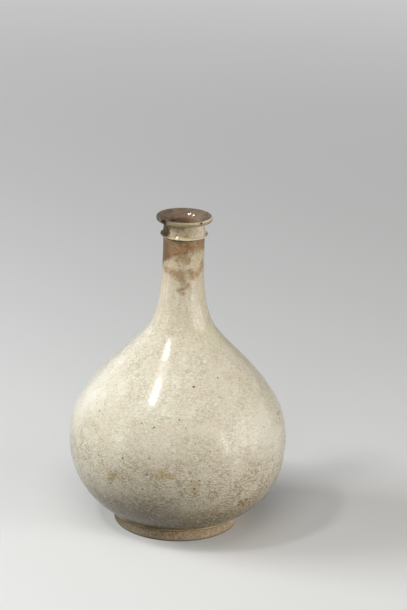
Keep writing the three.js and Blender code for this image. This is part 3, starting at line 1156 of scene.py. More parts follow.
# (degrees round from the back, height in mm) of the lower edge of the stain under the collar
STAIN_EDGE = (
    (0, 257.0),
    (50, 252.0),
    (96, 254.0),
    (115, 258.0),
    (134, 260.6),
    (150, 264.4),
    (168, 266.4),
    (188, 268.2),
    (206, 270.6),
    (222, 271.8),
    (250, 270.2),
    (290, 264.0),
    (330, 260.0),
    (360, 257.0),
)


def around(degrees, away, height):
    """A place by the degrees round from the front, the distance from the axis and the height."""
    turned_by = math.radians(degrees)
    return Vector((away * math.sin(turned_by), -away * math.cos(turned_by), height))


def on_wall(form, degrees, height):
    """A place on the outer wall, from the degrees round from the front and the height in mm."""
    outer, _ = sides(form)
    return around(degrees, outer.radius(height * MM), height * MM)


def nearest_spot(n, vector, form, spots):
    """How far a place lies from the nearest of the spots, as a share of that spot's size."""
    nearest = None
    for degrees, height, size, *radius in spots:
        if radius:
            centre = around(degrees, radius[0] * MM, height * MM)
        else:
            centre = on_wall(form, degrees, height)
        relative = n.math("DIVIDE", n.vector("DISTANCE", vector, centre), size * MM)
        nearest = relative if nearest is None else n.math("MINIMUM", nearest, relative)
    return nearest


def spot_mask(n, vector, form, spots, soft=0.7, ragged=0.35):
    """Round spots with a ragged outline."""
    rough = n.ragged(n.noise(vector, 900.0, 2.0), 2 * ragged)
    return n.ramp(n.math("ADD", nearest_spot(n, vector, form, spots), rough), 1 - soft, 1.0, 1.0, 0.0)


def patch_masks(n, vector, form, patches, ragged=0.45, grain=4 * MM, soft=0.8):
    """Soft patches on the wall, laid over each other."""
    total = None
    for degrees, height, wide, tall in patches:
        extent = (wide * MM, wide * MM, tall * MM)
        mask = patch(n, vector, on_wall(form, degrees, height), extent, ragged, grain, soft)
        total = mask if total is None else n.math("MAXIMUM", total, mask)
    return total


def emptied(holder):
    """The nodes of a material or a world, with none in it yet."""
    holder.use_nodes = True
    holder.node_tree.nodes.clear()
    return Nodes(holder.node_tree)


def new_material(name):
    """A bare material; returns it with its nodes, its surface and the place on the object."""
    material = bpy.data.materials.new(name)
    n = emptied(material)
    surface = n.add("ShaderNodeBsdfPrincipled")
    n.add("ShaderNodeOutputMaterial", [surface.outputs[0]])
    return material, n, surface, n.add("ShaderNodeTexCoord").outputs["Object"]


def dress(n, surface, base, rough, normal):
    """Gives a surface its colour, roughness and normal."""
    for key, value in (("Base Color", base), ("Roughness", rough), ("Normal", normal)):
        set_input(surface.inputs[key], value, n.tree)


def bump(n, height, distance, strength, normal=None):
    inputs = {"Strength": strength, "Distance": distance, "Height": height, "Normal": normal}
    return n.add("ShaderNodeBump", inputs).outputs[0]


def clouded(n, place, z, low, patchy, calm, glaze, form):
    """The ivory glaze with its clouds, soiled and in painted shade low on the body, and smoother at both
    sides.
    """
    base = n.paint(glaze.ivory, glaze.celadon, clouds(n, place, 34 * MM, 0.45, 0.7), 0.45)
    base = n.paint(base, glaze.blush, clouds(n, moved(n, place, 31), 24 * MM, 0.46, 0.7), 0.5)
    base = n.paint(base, glaze.milk, clouds(n, moved(n, place, 53), 15 * MM, 0.5, 0.72), 0.6)
    green_side = patch(n, place, on_wall(form, 48, 192), (30 * MM, 30 * MM, 22 * MM), 0.35, 14 * MM, 0.9)
    base = n.paint(base, glaze.celadon, green_side, 0.6)
    fine = n.between(clouds(n, place, 4 * MM, 0.4, 0.7), 0.6, 1.0)
    # darker towards the foot: soil in patches and painted shade
    base = n.paint(base, glaze.soiled, low, n.between(patchy, 0.35, 1.0), 0.62, fine)
    # painted shade under the belly, with the warmer stain of the glaze there
    base = n.paint(base, glaze.underside_shade_and_stain, n.ramp(z, 63 * MM, 25 * MM, 0.0, 0.97))
    return n.paint(base, glaze.milk, calm)


def hazed(n, place, z, base, glaze, stain):
    """Haze and streaks that run down the neck."""
    neckward = n.ramp(z, 165 * MM, 224 * MM)
    streak = n.noise(n.vector("MULTIPLY", place, (1.0, 1.0, 0.07)), 260.0, 3.0, 0.6)
    base = n.paint(base, glaze.blush, n.ramp(streak, 0.45, 0.7, 0.0, 0.35), neckward)
    base = n.paint(base, stain.neck, neckward, 0.4)
    base = n.paint(base, glaze.milk, n.ramp(streak, 0.47, 0.36, 0.0, 0.5), neckward)
    haze = n.times(n.ramp(z, 226 * MM, 252 * MM), n.ramp(streak, 0.3, 0.6, 0.5, 0.85))
    return n.paint(base, stain.neck, haze)


def cracked(n, place, z, base, low, patchy, calm, glaze):
    """Two nets of cracks, a fine one and a wide one; returns the colour and the lines of both."""
    fine = crackle(n, place, glaze.crack_cell, glaze.crack_line)
    wide = crackle(n, moved(n, place, 19), 3.4 * glaze.crack_cell, 0.4 * glaze.crack_line, 1.6)
    presence = n.times(
        n.between(low, 0.46, 1.0),
        n.between(patchy, 0.5, 1.0),
        n.ramp(z, 225 * MM, 175 * MM, 0.6, 1.0),
        n.math("SUBTRACT", 1.0, calm),
    )
    base = n.paint(base, glaze.soiled, fine["Tone"], n.between(low, 0.14, 0.34))
    both = n.math("MAXIMUM", fine["Lines"], wide["Lines"])
    base = n.paint(base, glaze.crack_tone, both, n.times(presence, glaze.crack_strength))

    # where the cracks crowd together they show from afar as short level strokes, dark and pale
    strokes = n.noise(n.vector("MULTIPLY", place, (1.0, 1.0, 2.6)), 330.0, 2.0, 0.6)
    crowded = n.times(presence, glaze.stroke_strength)
    base = n.paint(base, glaze.crack_tone, n.ramp(strokes, 0.54, 0.68), crowded)
    base = n.paint(base, glaze.milk, n.ramp(strokes, 0.46, 0.34), crowded)
    dashes = specks(n, n.vector("MULTIPLY", place, (1.0, 1.0, 2.0)), 4.2 * MM, 0.2, 0.5)
    base = n.paint(base, glaze.crack_tone, dashes, n.between(low, 0.25, 0.7))
    return base, fine["Lines"], wide["Lines"]


def marked(n, place, base, lines, glaze, form):
    """Dust, ochre patches, rust, a scar and specks of iron; returns the colour and the scar."""
    base = n.paint(base, glaze.rust, specks(n, moved(n, place, 41), 13 * MM, 0.08, 0.4), 0.75)
    mottled = n.between(clouds(n, place, 2.5 * MM, 0.35, 0.65), 0.18, 0.7)
    ochre = n.times(patch_masks(n, place, form, OCHRE_PATCHES), mottled)
    in_cracks = n.math("MULTIPLY", n.times(ochre, lines), 1.5, clamp=True)
    base = n.paint(base, glaze.rust, in_cracks)
    base = n.paint(base, glaze.ochre, ochre)
    base = n.paint(base, glaze.rust, spot_mask(n, place, form, RUST_SPOTS), 0.85)
    scar = spot_mask(n, place, form, SCAR, 0.6, 0.6)
    base = n.paint(base, glaze.rust, scar, 0.9)
    return n.paint(base, glaze.iron, spot_mask(n, place, form, IRON_SPOTS), 0.9), scar


def glaze_colour(n, place, glaze, stain, form):
    """The glaze of the whole bottle; returns its colour, how deep the cracks lie, and the scar."""
    z = n.split(place)[2]
    low = n.ramp(z, 150 * MM, 30 * MM)
    patchy = clouds(n, moved(n, place, 77), 20 * MM, 0.3, 0.68)
    calm = n.times(patch_masks(n, place, form, CALM_SIDES, 0.25, 18 * MM, 1.0), 0.6)
    base = clouded(n, place, z, low, patchy, calm, glaze, form)
    base = hazed(n, place, z, base, glaze, stain)
    base, lines, wide_lines = cracked(n, place, z, base, low, patchy, calm, glaze)
    base, scar = marked(n, place, base, lines, glaze, form)
    return base, n.math("MAXIMUM", lines, n.times(wide_lines, 0.7)), scar


def glaze_roughness(n, place, lines, glaze):
    """A glossy coat, a little duller in patches and along the cracks."""
    patchy = clouds(n, place, 9 * MM, 0.3, 0.7)
    rough = n.math("ADD", glaze.roughness, n.times(patchy, 0.05))
    return n.math("ADD", rough, n.times(lines, 0.12))


def glaze_swell(n, place):
    return bump(n, n.noise(place, 95.0, 2.0, 0.4), 0.25 * MM, 0.15)


def cut_in(n, lines, normal):
    """Lines that lie a little below the glaze."""
    return bump(n, n.math("SUBTRACT", 1.0, lines), 0.05 * MM, 0.5, normal)


def ivory_glaze():
    scene = bpy.context.scene
    glaze, stain, form = scene.bottle_glaze, scene.bottle_stain, scene.bottle_form
    material, n, surface, place = new_material("ivory crackle glaze")
    surface.inputs["IOR"].default_value = GLAZE_IOR
    base, lines, scar = glaze_colour(n, place, glaze, stain, form)
    rough = glaze_roughness(n, place, lines, glaze)
    normal = cut_in(n, n.math("MAXIMUM", lines, scar), glaze_swell(n, place))
    dress(n, surface, base, rough, normal)
    return material


def edge_curve(n, x, y):
    """The height of the lower edge of the stain at each place round the neck."""
    lowest, highest = 250 * MM, 275 * MM
    turned_by = n.math("ARCTAN2", x, n.times(y, -1.0))
    turn_share = n.math("ADD", n.math("DIVIDE", turned_by, TAU), 0.5)
    points = [(degrees / 360, (height * MM - lowest) / (highest - lowest)) for degrees, height in STAIN_EDGE]
    return n.ramp(n.curve(turn_share, points), 0.0, 1.0, lowest, highest, smooth=False)


class NeckFields:
    """What the stains of the neck, the waist and the mouth are mixed from, at each place."""

    def __init__(self, n, place):
        self.place = place
        self.x, self.y, self.z = n.split(place)
        self.away = n.vector("LENGTH", n.join(self.x, self.y, 0.0))
        self.side = n.math("DIVIDE", self.x, NECK_RADIUS)
        self.blotch = clouds(n, place, 6 * MM, 0.38, 0.62)
        self.other_blotch = clouds(n, moved(n, place, 23), 5 * MM, 0.46, 0.64)
        self.rub = n.ramp(n.noise(place, 300.0, 3.0), 0.3, 0.6, 0.5, 1.0)
        self.grain = n.noise(place, 480.0, 4.0, 0.7)
        self.coarse = n.noise(moved(n, place, 7), 190.0, 3.0, 0.6)
        across = n.math("DIVIDE", self.x, FLANGE_RADIUS)
        back = n.times(n.math("DIVIDE", self.y, FLANGE_RADIUS), 0.35)
        self.rim_side = n.math("SUBTRACT", across, back)


def collar_stain(n, at, base, stain):
    """The broad stain under the collar; returns the colour and where the stain lies."""
    uneven = n.ragged(n.noise(at.place, 150.0, 4.0, 0.7), 11 * MM)
    edge = n.math("SUBTRACT", n.math("ADD", at.z, uneven), edge_curve(n, at.x, at.y))
    band = n.ramp(edge, -1.4 * MM, 1.4 * MM)
    fringe = n.times(n.ramp(edge, -7.0 * MM, 0.0), n.ramp(at.grain, 0.35, 0.6, 0.15, 0.75))
    base = n.paint(base, stain.olive, fringe)
    brown = n.paint(stain.russet, stain.umber, n.ramp(at.coarse, 0.4, 0.66))
    brown = n.paint(brown, stain.neck, n.ramp(at.grain, 0.5, 0.66, 0.0, 0.5))
    brown = n.paint(brown, stain.umber, n.ramp(at.grain, 0.46, 0.34, 0.0, 0.5))
    # darker on the left of the neck: painted shade over the real stain
    brown = n.paint(brown, stain.umber, n.ramp(at.side, -0.4, -0.9, 0.0, 0.95))
    brown = n.paint(brown, stain.waist_shade, n.ramp(at.side, -0.5, -1.0, 0.0, 0.5))
    base = n.paint(base, brown, band, 0.95)
    # olive just under the collar: pooled glaze and painted shade under the ridge
    under = n.ramp(at.z, COLLAR_Z - 4.5 * MM, COLLAR_Z - 0.5 * MM)
    return n.paint(base, stain.olive, under, n.ramp(at.grain, 0.35, 0.6, 0.2, 0.8)), band


def neck_stain(n, at, base, stain, form):
    """Russet and olive stains on the neck, below the broad one."""
    spread = n.ramp(at.grain, 0.34, 0.6, 0.42, 0.95)
    russet = patch_masks(n, at.place, form, NECK_RUSSET, 0.5, 4 * MM, 0.9)
    base = n.paint(base, stain.russet, russet, spread)
    olive = patch_masks(n, at.place, form, NECK_OLIVE, 0.5, 4 * MM, 0.9)
    brown_olive = n.paint(stain.olive, stain.russet, n.ramp(at.coarse, 0.38, 0.6, 0.0, 0.8))
    return n.paint(base, brown_olive, olive, spread)


def waist_stain(n, at, base, upper, glaze, stain):
    """The waist over the collar, in painted shade on its left under the flange and in painted light on its
    right; returns the colour and the shaded side.
    """
    waist = n.paint(stain.waist, stain.olive, at.other_blotch, 0.8)
    waist = n.paint(waist, stain.umber, n.ramp(at.grain, 0.52, 0.64, 0.0, 0.6))
    # painted light on the right of the waist
    lit_side = n.times(n.ramp(at.side, 0.1, 0.8), n.between(at.blotch, 0.3, 0.9))
    waist = n.paint(waist, glaze.blush, lit_side)
    # painted shade on the left of the waist, under the flange
    shaded_side = n.ramp(n.math("ADD", at.side, n.times(at.blotch, 0.22)), -0.42, -0.8)
    waist = n.paint(waist, stain.waist_shade, shaded_side)
    base = n.paint(base, waist, upper)
    # the worn pale ridge of the collar, fainter on the left in painted shade
    ridge = n.times(
        n.ramp(at.away, RIDGE_RADIUS - 1.5 * MM, RIDGE_RADIUS - 0.5 * MM),
        upper,
        n.ramp(at.z, LIP_Z - 9 * MM, LIP_Z - 11 * MM),
        n.ramp(at.side, -0.95, 0.1, 0.3, 0.9),
    )
    return n.paint(base, stain.lip, ridge, at.rub), shaded_side


def brim_stain(n, at, base, stain):
    """The side of the flange, in painted shade on the left, behind and round the big chip."""
    brim = n.paint(stain.brim, stain.olive, at.other_blotch, 0.6)
    # painted shade on the left and back of the brim
    brim = n.paint(brim, stain.lip_shade_and_scratch, n.ramp(at.rim_side, -0.35, -0.8))
    # painted shade of the big chip's recess on the brim round it
    chip = around(-46, FLANGE_RADIUS, 296.8 * MM)
    chip_recess_shade = patch(n, at.place, chip, (5.5 * MM, 5.5 * MM, 4 * MM), 0.3, 2 * MM, 0.5)
    brim = n.paint(brim, stain.break_tone, chip_recess_shade)
    high = n.ramp(at.z, LIP_Z - 5 * MM, LIP_Z - 3.8 * MM)
    return n.paint(base, brim, high, n.ramp(at.away, RIDGE_RADIUS, RIDGE_RADIUS + 1.5 * MM))


def dish_stain(n, at, base, stain):
    """The dish of the mouth and the bore; returns the colour and where the dish lies."""
    dish_edge = n.math("ADD", at.away, n.ragged(n.noise(at.place, 200.0, 3.0), 1.6 * MM))
    outside_waist = n.ramp(at.away, WAIST_RADIUS - 0.8 * MM, WAIST_RADIUS - 0.3 * MM)
    above_flange = n.ramp(at.z, LIP_Z - 3.6 * MM, LIP_Z - 3.0 * MM)
    inside = n.times(
        n.ramp(dish_edge, FLANGE_RADIUS - 1.2 * MM, FLANGE_RADIUS - 2.2 * MM),
        n.ramp(at.z, LIP_Z - 5.6 * MM, LIP_Z - 5.0 * MM),
        n.math("MAXIMUM", n.math("SUBTRACT", 1.0, outside_waist), above_flange),
    )
    dish = n.paint(stain.dish, stain.neck, at.blotch, 0.2)
    dish = n.paint(dish, stain.umber, n.ramp(at.grain, 0.48, 0.66, 0.0, 0.75))
    scratch = n.noise(n.join(at.away, n.times(at.side, 0.5 * MM), 0.0), 1500.0, 3.0, 0.7)
    outward = n.ramp(at.away, 15 * MM, 22 * MM, 0.1, 0.7)
    dish = n.paint(dish, stain.lip_shade_and_scratch, n.ramp(scratch, 0.48, 0.66), outward)
    throat_edge = n.math("ADD", at.away, n.times(at.blotch, 2.0 * MM))
    dish = n.paint(dish, stain.throat, n.ramp(throat_edge, 17.5 * MM, 14.0 * MM))
    base = n.paint(base, dish, inside)
    bore = n.times(n.ramp(at.away, 14.2 * MM, 13.6 * MM), n.ramp(at.z, NECK_JOINT, COLLAR_Z))
    return n.paint(base, stain.throat, bore), inside


def worn_lip(n, at, base, stain):
    """The worn top of the lip, in painted shade on the left and behind and in painted light in front and on
    the right.
    """
    # painted shade on the left and behind, painted light in front and on the right
    lit_and_shaded_lip = n.paint(stain.lip_shade_and_scratch, stain.lip, n.ramp(at.rim_side, -0.3, 1.1, smooth=False))
    rim = n.ramp(at.away, FLANGE_RADIUS - 2.2 * MM, FLANGE_RADIUS - 1.5 * MM)
    return n.paint(base, lit_and_shaded_lip, rim, n.ramp(at.z, LIP_Z - 1.6 * MM, LIP_Z - 0.9 * MM), at.rub)


def stained_glaze():
    scene = bpy.context.scene
    glaze, stain, form = scene.bottle_glaze, scene.bottle_stain, scene.bottle_form
    material, n, surface, place = new_material("kiln stained glaze")
    surface.inputs["IOR"].default_value = GLAZE_IOR
    base, lines, _ = glaze_colour(n, place, glaze, stain, form)
    at = NeckFields(n, place)
    upper = n.ramp(at.z, COLLAR_Z + 0.6 * MM, COLLAR_Z + 0.9 * MM)
    base, band = collar_stain(n, at, base, stain)
    base = neck_stain(n, at, base, stain, form)
    base, shaded_side = waist_stain(n, at, base, upper, glaze, stain)
    base = brim_stain(n, at, base, stain)
    base, inside = dish_stain(n, at, base, stain)
    base = worn_lip(n, at, base, stain)

    # the shaded left side of the waist is dull, the stain under the collar half as dull, and the mouth still
    # less
    dull = n.times(band, n.between(upper, 0.5, 0.15))
    dull = n.math("MAXIMUM", dull, n.times(shaded_side, upper))
    rough = n.math("ADD", glaze_roughness(n, place, lines, glaze), n.times(dull, 0.6))
    lumps = n.times(n.noise(place, 420.0, 2.0, 0.5), inside)
    lumpy = bump(n, lumps, 0.9 * MM, 0.6, glaze_swell(n, place))
    facets = spot_mask(n, place, form, FACETS, 0.4, 0.2)
    round_part = n.vector("SCALE", cut_in(n, lines, lumpy), n.math("SUBTRACT", 1.0, facets))
    flat_part = n.vector("SCALE", FACET_NORMAL, facets)
    dress(n, surface, base, rough, n.vector("NORMALIZE", n.vector("ADD", round_part, flat_part)))
    return material


def broken_clay():
    stain = bpy.context.scene.bottle_stain
    material, n, surface, place = new_material("soiled break")
    base = n.paint(stain.break_tone, stain.umber, clouds(n, place, 1.2 * MM, 0.35, 0.65), 0.25)
    dress(n, surface, base, 0.8, bump(n, n.noise(place, 1800.0, 3.0), 0.15 * MM, 0.6))
    return material


def bare_clay():
    scene = bpy.context.scene
    foot, stain = scene.bottle_foot, scene.bottle_stain
    material, n, surface, place = new_material("bare turned clay")
    x, _, z = n.split(place)
    flush = n.times(clouds(n, place, 17 * MM, 0.36, 0.6), n.ramp(x, -40 * MM, 20 * MM, 0.15, 1.0))
    base = n.paint(foot.clay, foot.flush, flush)
    handled = clouds(n, n.vector("ADD", place, (0.2, 0.3, 0.1)), 9 * MM, 0.42, 0.66)
    base = n.paint(base, foot.soil, handled, 0.6)
    tooled = n.noise(n.vector("MULTIPLY", place, (0.12, 0.12, 1.0)), 1100.0, 3.0, 0.6)
    base = n.paint(base, foot.soil, n.ramp(tooled, 0.5, 0.75, 0.0, 0.35))
    mottle = n.noise(moved(n, place, 29), 420.0, 3.0, 0.65)
    base = n.paint(base, foot.pale, n.ramp(mottle, 0.5, 0.64, 0.0, 0.55))
    base = n.paint(base, foot.shade, n.ramp(mottle, 0.47, 0.34, 0.0, 0.6))
    base = n.paint(base, stain.umber, specks(n, place, 2.4 * MM, 0.17, 0.5), 0.7)
    base = n.paint(base, foot.pale, specks(n, moved(n, place, 13), 3 * MM, 0.2, 0.5), 0.5)
    base = n.paint(base, stain.umber, spot_mask(n, place, scene.bottle_form, FOOT_SPOTS))
    # painted shade on the left of the foot, under the body's overhang
    base = n.paint(base, foot.shade, n.ramp(x, -34 * MM, -58 * MM, 0.0, 0.75))
    # darker towards the bottom edge, where the foot meets the floor: soil and painted shade
    base = n.paint(base, foot.soil, n.ramp(z, 4.6 * MM, 1.6 * MM, 0.0, 0.6))
    base = n.paint(base, foot.shade, n.ramp(z, 2.4 * MM, 0.6 * MM, 0.0, 0.9))
    base = n.paint(base, stain.olive, n.ramp(z, FOOT_TOP - 1.6 * MM, FOOT_TOP), 0.5)
    turned = bump(n, tooled, 0.12 * MM, 0.5)
    grainy = bump(n, n.noise(place, 1500.0, 4.0, 0.7), 0.12 * MM, 0.5, turned)
    dress(n, surface, base, 0.82, grainy)
    return material


def slip_clay():
    scene = bpy.context.scene
    foot, stain = scene.bottle_foot, scene.bottle_stain
    material, n, surface, place = new_material("bed of slip")
    base = n.paint(stain.olive, foot.slip, clouds(n, place, 4 * MM, 0.35, 0.65))
    dress(n, surface, base, 0.6, bump(n, n.noise(place, 900.0, 3.0), 0.1 * MM, 0.5))
    return material


def skirt_glaze():
    foot = bpy.context.scene.bottle_foot
    material, n, surface, place = new_material("pooled glaze")
    edge = n.add("ShaderNodeAttribute", attribute_name="edge").outputs["Fac"]
    base = n.paint(foot.skirt, foot.skirt_cloud, clouds(n, place, 8 * MM, 0.35, 0.65), 0.7)
    # dark glaze line at the lower end, with painted shade under the bead
    base = n.paint(base, foot.skirt_end_and_shade, n.ramp(edge, 0.82, 0.98))
    # painted shade in the crease where the skirt leaves the body
    base = n.paint(base, foot.skirt_crease_shade, n.ramp(edge, 0.14, 0.02, 0.0, 0.9))
    dress(n, surface, base, 0.24, bump(n, n.noise(place, 300.0, 2.0), 0.2 * MM, 0.4))
    return material


MAKERS = {
    "ivory crackle glaze": ivory_glaze,
    "kiln stained glaze": stained_glaze,
    "soiled break": broken_clay,
    "bare turned clay": bare_clay,
    "bed of slip": slip_clay,
    "pooled glaze": skirt_glaze,
}


def finish_of(name):
    return bpy.data.materials.get(name) or MAKERS[name]()


# Chips of the lip

# (degrees round, radius, height, half width round the rim, half width across, half height); lengths in mm
CHIPS = (
    (-46.0, 27.2, 299.0, 4.8, 2.7, 4.3),
    (37.5, 26.7, 299.2, 1.7, 1.5, 1.5),
    (152.0, 26.8, 299.6, 2.4, 1.6, 1.4),
)


def chip_cutter(chip, material, seed):
    """A lump whose rough surface is left in the lip where it is cut away."""
    degrees, radius, height, along, across, tall = chip
    lump = bmesh.new()
    bmesh.ops.create_icosphere(lump, subdivisions=4, radius=1)
    for vertex in lump.verts:
        facet = noise.noise(vertex.co * 1.6 + Vector((seed, 0, 0))) * 0.28
        fine = noise.noise(vertex.co * 5 + Vector((0, seed, 0))) * 0.08
        vertex.co *= 1 + facet + fine
    size = Matrix.Diagonal((along * MM, across * MM, tall * MM, 1))
    turn_to = Matrix.Rotation(math.radians(degrees), 4, "Z")
    centre = around(degrees, radius * MM, height * MM)
    bmesh.ops.transform(lump, matrix=Matrix.Translation(centre) @ turn_to @ size, verts=lump.verts)
    mesh = bpy.data.meshes.new("chip")
    lump.to_mesh(mesh)
    lump.free()
    mesh.materials.append(material)
    cutter = bpy.data.objects.new("chip", mesh)
    bpy.context.scene.collection.objects.link(cutter)
    return cutter


def chip_away(piece, chips, material):
    piece.data.materials.append(material)
    for seed, chip in enumerate(chips):
        cutter = chip_cutter(chip, material, seed)
        modifier = piece.modifiers.new("chip", "BOOLEAN")
        modifier.operation = "DIFFERENCE"
        modifier.solver = "EXACT"
        modifier.material_mode = "TRANSFER"
        modifier.object = cutter
        graph = bpy.context.evaluated_depsgraph_get()
        cut = bpy.data.meshes.new_from_object(piece.evaluated_get(graph), depsgraph=graph)
        piece.modifiers.remove(modifier)
        piece.data = cut
        bpy.data.objects.remove(cutter)
    piece.data.shade_smooth()
    piece.data.set_sharp_from_angle(angle=CREASE)
    enclosed(piece.data)


# Operators


class MakeFoot(bpy.types.Operator):
    """Build the turned foot ring with its bed of slip, the glaze that runs over it and the kiln sand"""

    bl_idname = "bottle.make_foot"
    bl_label = "Foot Ring"

    def execute(self, context):
        scene = context.scene
        form, foot = scene.bottle_form, scene.bottle_foot
        ring = turn("turned_foot", foot_outline(), finish_of("bare turned clay"), form)
        slip = turn("foot_slip", foot_slip_outline(), finish_of("bed of slip"), form)
        edge = skirt_outline(foot.skirt_drop)
        glaze = finish_of("pooled glaze")
        skirt = turn("glaze_skirt", edge, glaze, form, foot.skirt_ragged, foot.skirt_pool)
        grit = piece_from("kiln_grit", [])
        grit.data = ring.data.copy()
        values = {
            "Count": foot.grains,
            "Grain Size": foot.grain_size,
            "Height": FOOT_TOP,
            "Seed": form.seed,
            "Material": finish_of("bare turned clay"),
        }
        grow(grit, kept_group("Kiln Grit", grit_tree), values)
        settle(ring, "bare_clay", "foot_ring")
        settle(slip, "slip", "foot_slip_band")
        settle(skirt, "ivory_glaze")
        settle(grit, "bare_clay")
        return {"FINISHED"}


class MakeBody(bpy.types.Operator):
    """Build the lower bowl and the shoulder dome with the bed of slip between them"""

    bl_idname = "bottle.make_body"
    bl_label = "Body"

    def execute(self, context):
        form = context.scene.bottle_form
        lower = turn("lower_bowl", lower_outline(form), finish_of("ivory crackle glaze"), form)
        upper = turn("shoulder_dome", upper_outline(form), finish_of("ivory crackle glaze"), form)
        slip = turn("belly_slip", lap_slip_outline(form, BELLY_JOINT), finish_of("bed of slip"), form)
        settle(lower, "ivory_glaze", "lower_body")
        settle(upper, "ivory_glaze", "upper_body")
        settle(slip, "slip", "belly_slip_band")
        return {"FINISHED"}


class MakeNeck(bpy.types.Operator):
    """Build the drawn neck and the raised collar with their beds of slip"""

    bl_idname = "bottle.make_neck"
    bl_label = "Neck and Collar"

    def execute(self, context):
        form = context.scene.bottle_form
        neck = turn("drawn_neck", neck_outline(form), finish_of("kiln stained glaze"), form)
        slip = turn("neck_slip", lap_slip_outline(form, NECK_JOINT), finish_of("bed of slip"), form)
        collar_slip = turn("collar_slip", collar_slip_outline(form), finish_of("bed of slip"), form)
        collar = turn("neck_collar", collar_outline(form), finish_of("kiln stained glaze"), form)
        settle(neck, "stained_glaze", "neck_tube")
        settle(slip, "slip", "neck_slip_band")
        settle(collar_slip, "slip", "collar_slip_band")
        settle(collar, "stained_glaze", "collar_ring")
        return {"FINISHED"}


class MakeMouth(bpy.types.Operator):
    """Build the waist and the dished mouth, with the chips of its lip"""

    bl_idname = "bottle.make_mouth"
    bl_label = "Mouth"

    def execute(self, context):
        form = context.scene.bottle_form
        mouth = turn("dished_mouth", mouth_outline(form), finish_of("kiln stained glaze"), form)
        chip_away(mouth, CHIPS, finish_of("soiled break"))
        slip = turn("mouth_slip", mouth_slip_outline(form), finish_of("bed of slip"), form)
        settle(mouth, "stained_glaze", "mouth_cup")
        settle(slip, "slip", "mouth_slip_band")
        return {"FINISHED"}


# Stage

BOTTLE_MIDDLE = Vector((0, 0, 0.12))
KEY_DISTANCE, PANEL_DISTANCE, STRIP_DISTANCE = 1.5, 2.0, 1.6
KEY_WIDTH = 0.16
# the soft box has two panes: (name, part of its power, height, degrees round, degrees up)
KEY_PANES = (
    ("upper key pane", 0.33, 0.037, -0.9, 2.86),
    ("lower key pane", 0.6, 0.062, 1.1, -1.6),
)
STRIP_HEIGHT = 0.9
STRIP_RISE = math.radians(14)
# (name, part of the power, width, degrees round)
STRIPS = (
    ("right strip", 4.5, 0.12, 53.5),
    ("left strip", 3.5, 0.3, -64),
)
# (name, part of the brightness, width, height, degrees round, degrees up, colour)
WINDOWS = (
    ("left window", 0.45, 1.5, 1.0, -136, 14, (0.84, 0.93, 1.0)),
    ("right window", 0.9, 1.5, 1.0, 74, 14, (0.96, 0.98, 1.0)),
)


def lamp(name, power, size, direction, distance, light=(1, 1, 1), glossy=True):
    """An area lamp that looks at the middle of the bottle; the direction is the turn and the rise."""
    data = bpy.data.lights.new(name, "AREA")
    data.shape = "RECTANGLE"
    data.size, data.size_y = size
    data.energy = power
    data.color = light
    thing = bpy.data.objects.new(name, data)
    bpy.context.scene.collection.objects.link(thing)
    azimuth, elevation = direction
    level = math.cos(elevation)
    away = Vector((math.sin(azimuth) * level, -math.cos(azimuth) * level, math.sin(elevation)))
    thing.location = BOTTLE_MIDDLE + away * distance
    thing.rotation_euler = away.to_track_quat("Z", "Y").to_euler()
    thing.visible_glossy = glossy
    return thing


def set_camera():
    """The camera that the outline of the bottle was fitted through, for an upright frame 610 pixels high."""
    focal, height, sensor = 2400, 610, 36
    aim = Vector((20.13, 0, 214.12)) * MM
    tilt, roll, distance = math.radians(18.65), math.radians(1.99), 2225.2 * MM
    back = Vector((0, -math.cos(tilt), math.sin(tilt)))
    right, up = Vector((1, 0, 0)), Vector((0, math.sin(tilt), math.cos(tilt)))
    turned_right = right * math.cos(roll) + up * math.sin(roll)
    turned_up = up * math.cos(roll) - right * math.sin(roll)
    data = bpy.data.cameras.new("camera")
    data.sensor_width = sensor
    data.lens = focal * sensor / height
    camera = bpy.data.objects.new("camera", data)
    bpy.context.scene.collection.objects.link(camera)
    axes = Matrix((turned_right, turned_up, back)).transposed().to_4x4()
    camera.matrix_world = Matrix.Translation(aim + back * distance) @ axes
    data.clip_start, data.clip_end = 0.05, 60
    bpy.context.scene.camera = camera


def floor_material(stage):
    """A floor that is pale to the camera and in the glaze, and gives the bottle little light."""
    material = bpy.data.materials.new("pale floor")
    n = emptied(material)
    lit = n.add("ShaderNodeBsdfDiffuse", {"Color": (*stage.floor, 1)})
    path = n.add("ShaderNodeLightPath").outputs
    away = n.vector("LENGTH", n.add("ShaderNodeTexCoord").outputs["Object"])
    far = n.times(n.ramp(away, 0.2, 4.2, 0.0, stage.far_floor), path["Is Camera Ray"])
    glow = {"Color": (1, 1, 1, 1), "Strength": n.math("ADD", far, stage.backdrop)}
    even = n.add("ShaderNodeEmission", glow)
    seen = n.add("ShaderNodeAddShader", [lit.outputs[0], even.outputs[0]])
    bounced = n.add("ShaderNodeBsdfDiffuse", {"Color": (*[stage.floor_bounce] * 3, 1)})
    mirrored = n.math("MAXIMUM", path["Is Glossy Ray"], path["Is Transmission Ray"])
    direct = n.math("MAXIMUM", path["Is Camera Ray"], mirrored)
    mixed = n.add("ShaderNodeMixShader", [direct, bounced.outputs[0], seen.outputs[0]])
    n.add("ShaderNodeOutputMaterial", [mixed.outputs[0]])
    return material


def lay_floor(stage):
    mesh = bpy.data.meshes.new("floor")
    floor = bmesh.new()
    bmesh.ops.create_grid(floor, x_segments=8, y_segments=8, size=10)
    floor.to_mesh(mesh)
    floor.free()
    mesh.materials.append(floor_material(stage))
    ground = bpy.data.objects.new("floor", mesh)
    bpy.context.scene.collection.objects.link(ground)


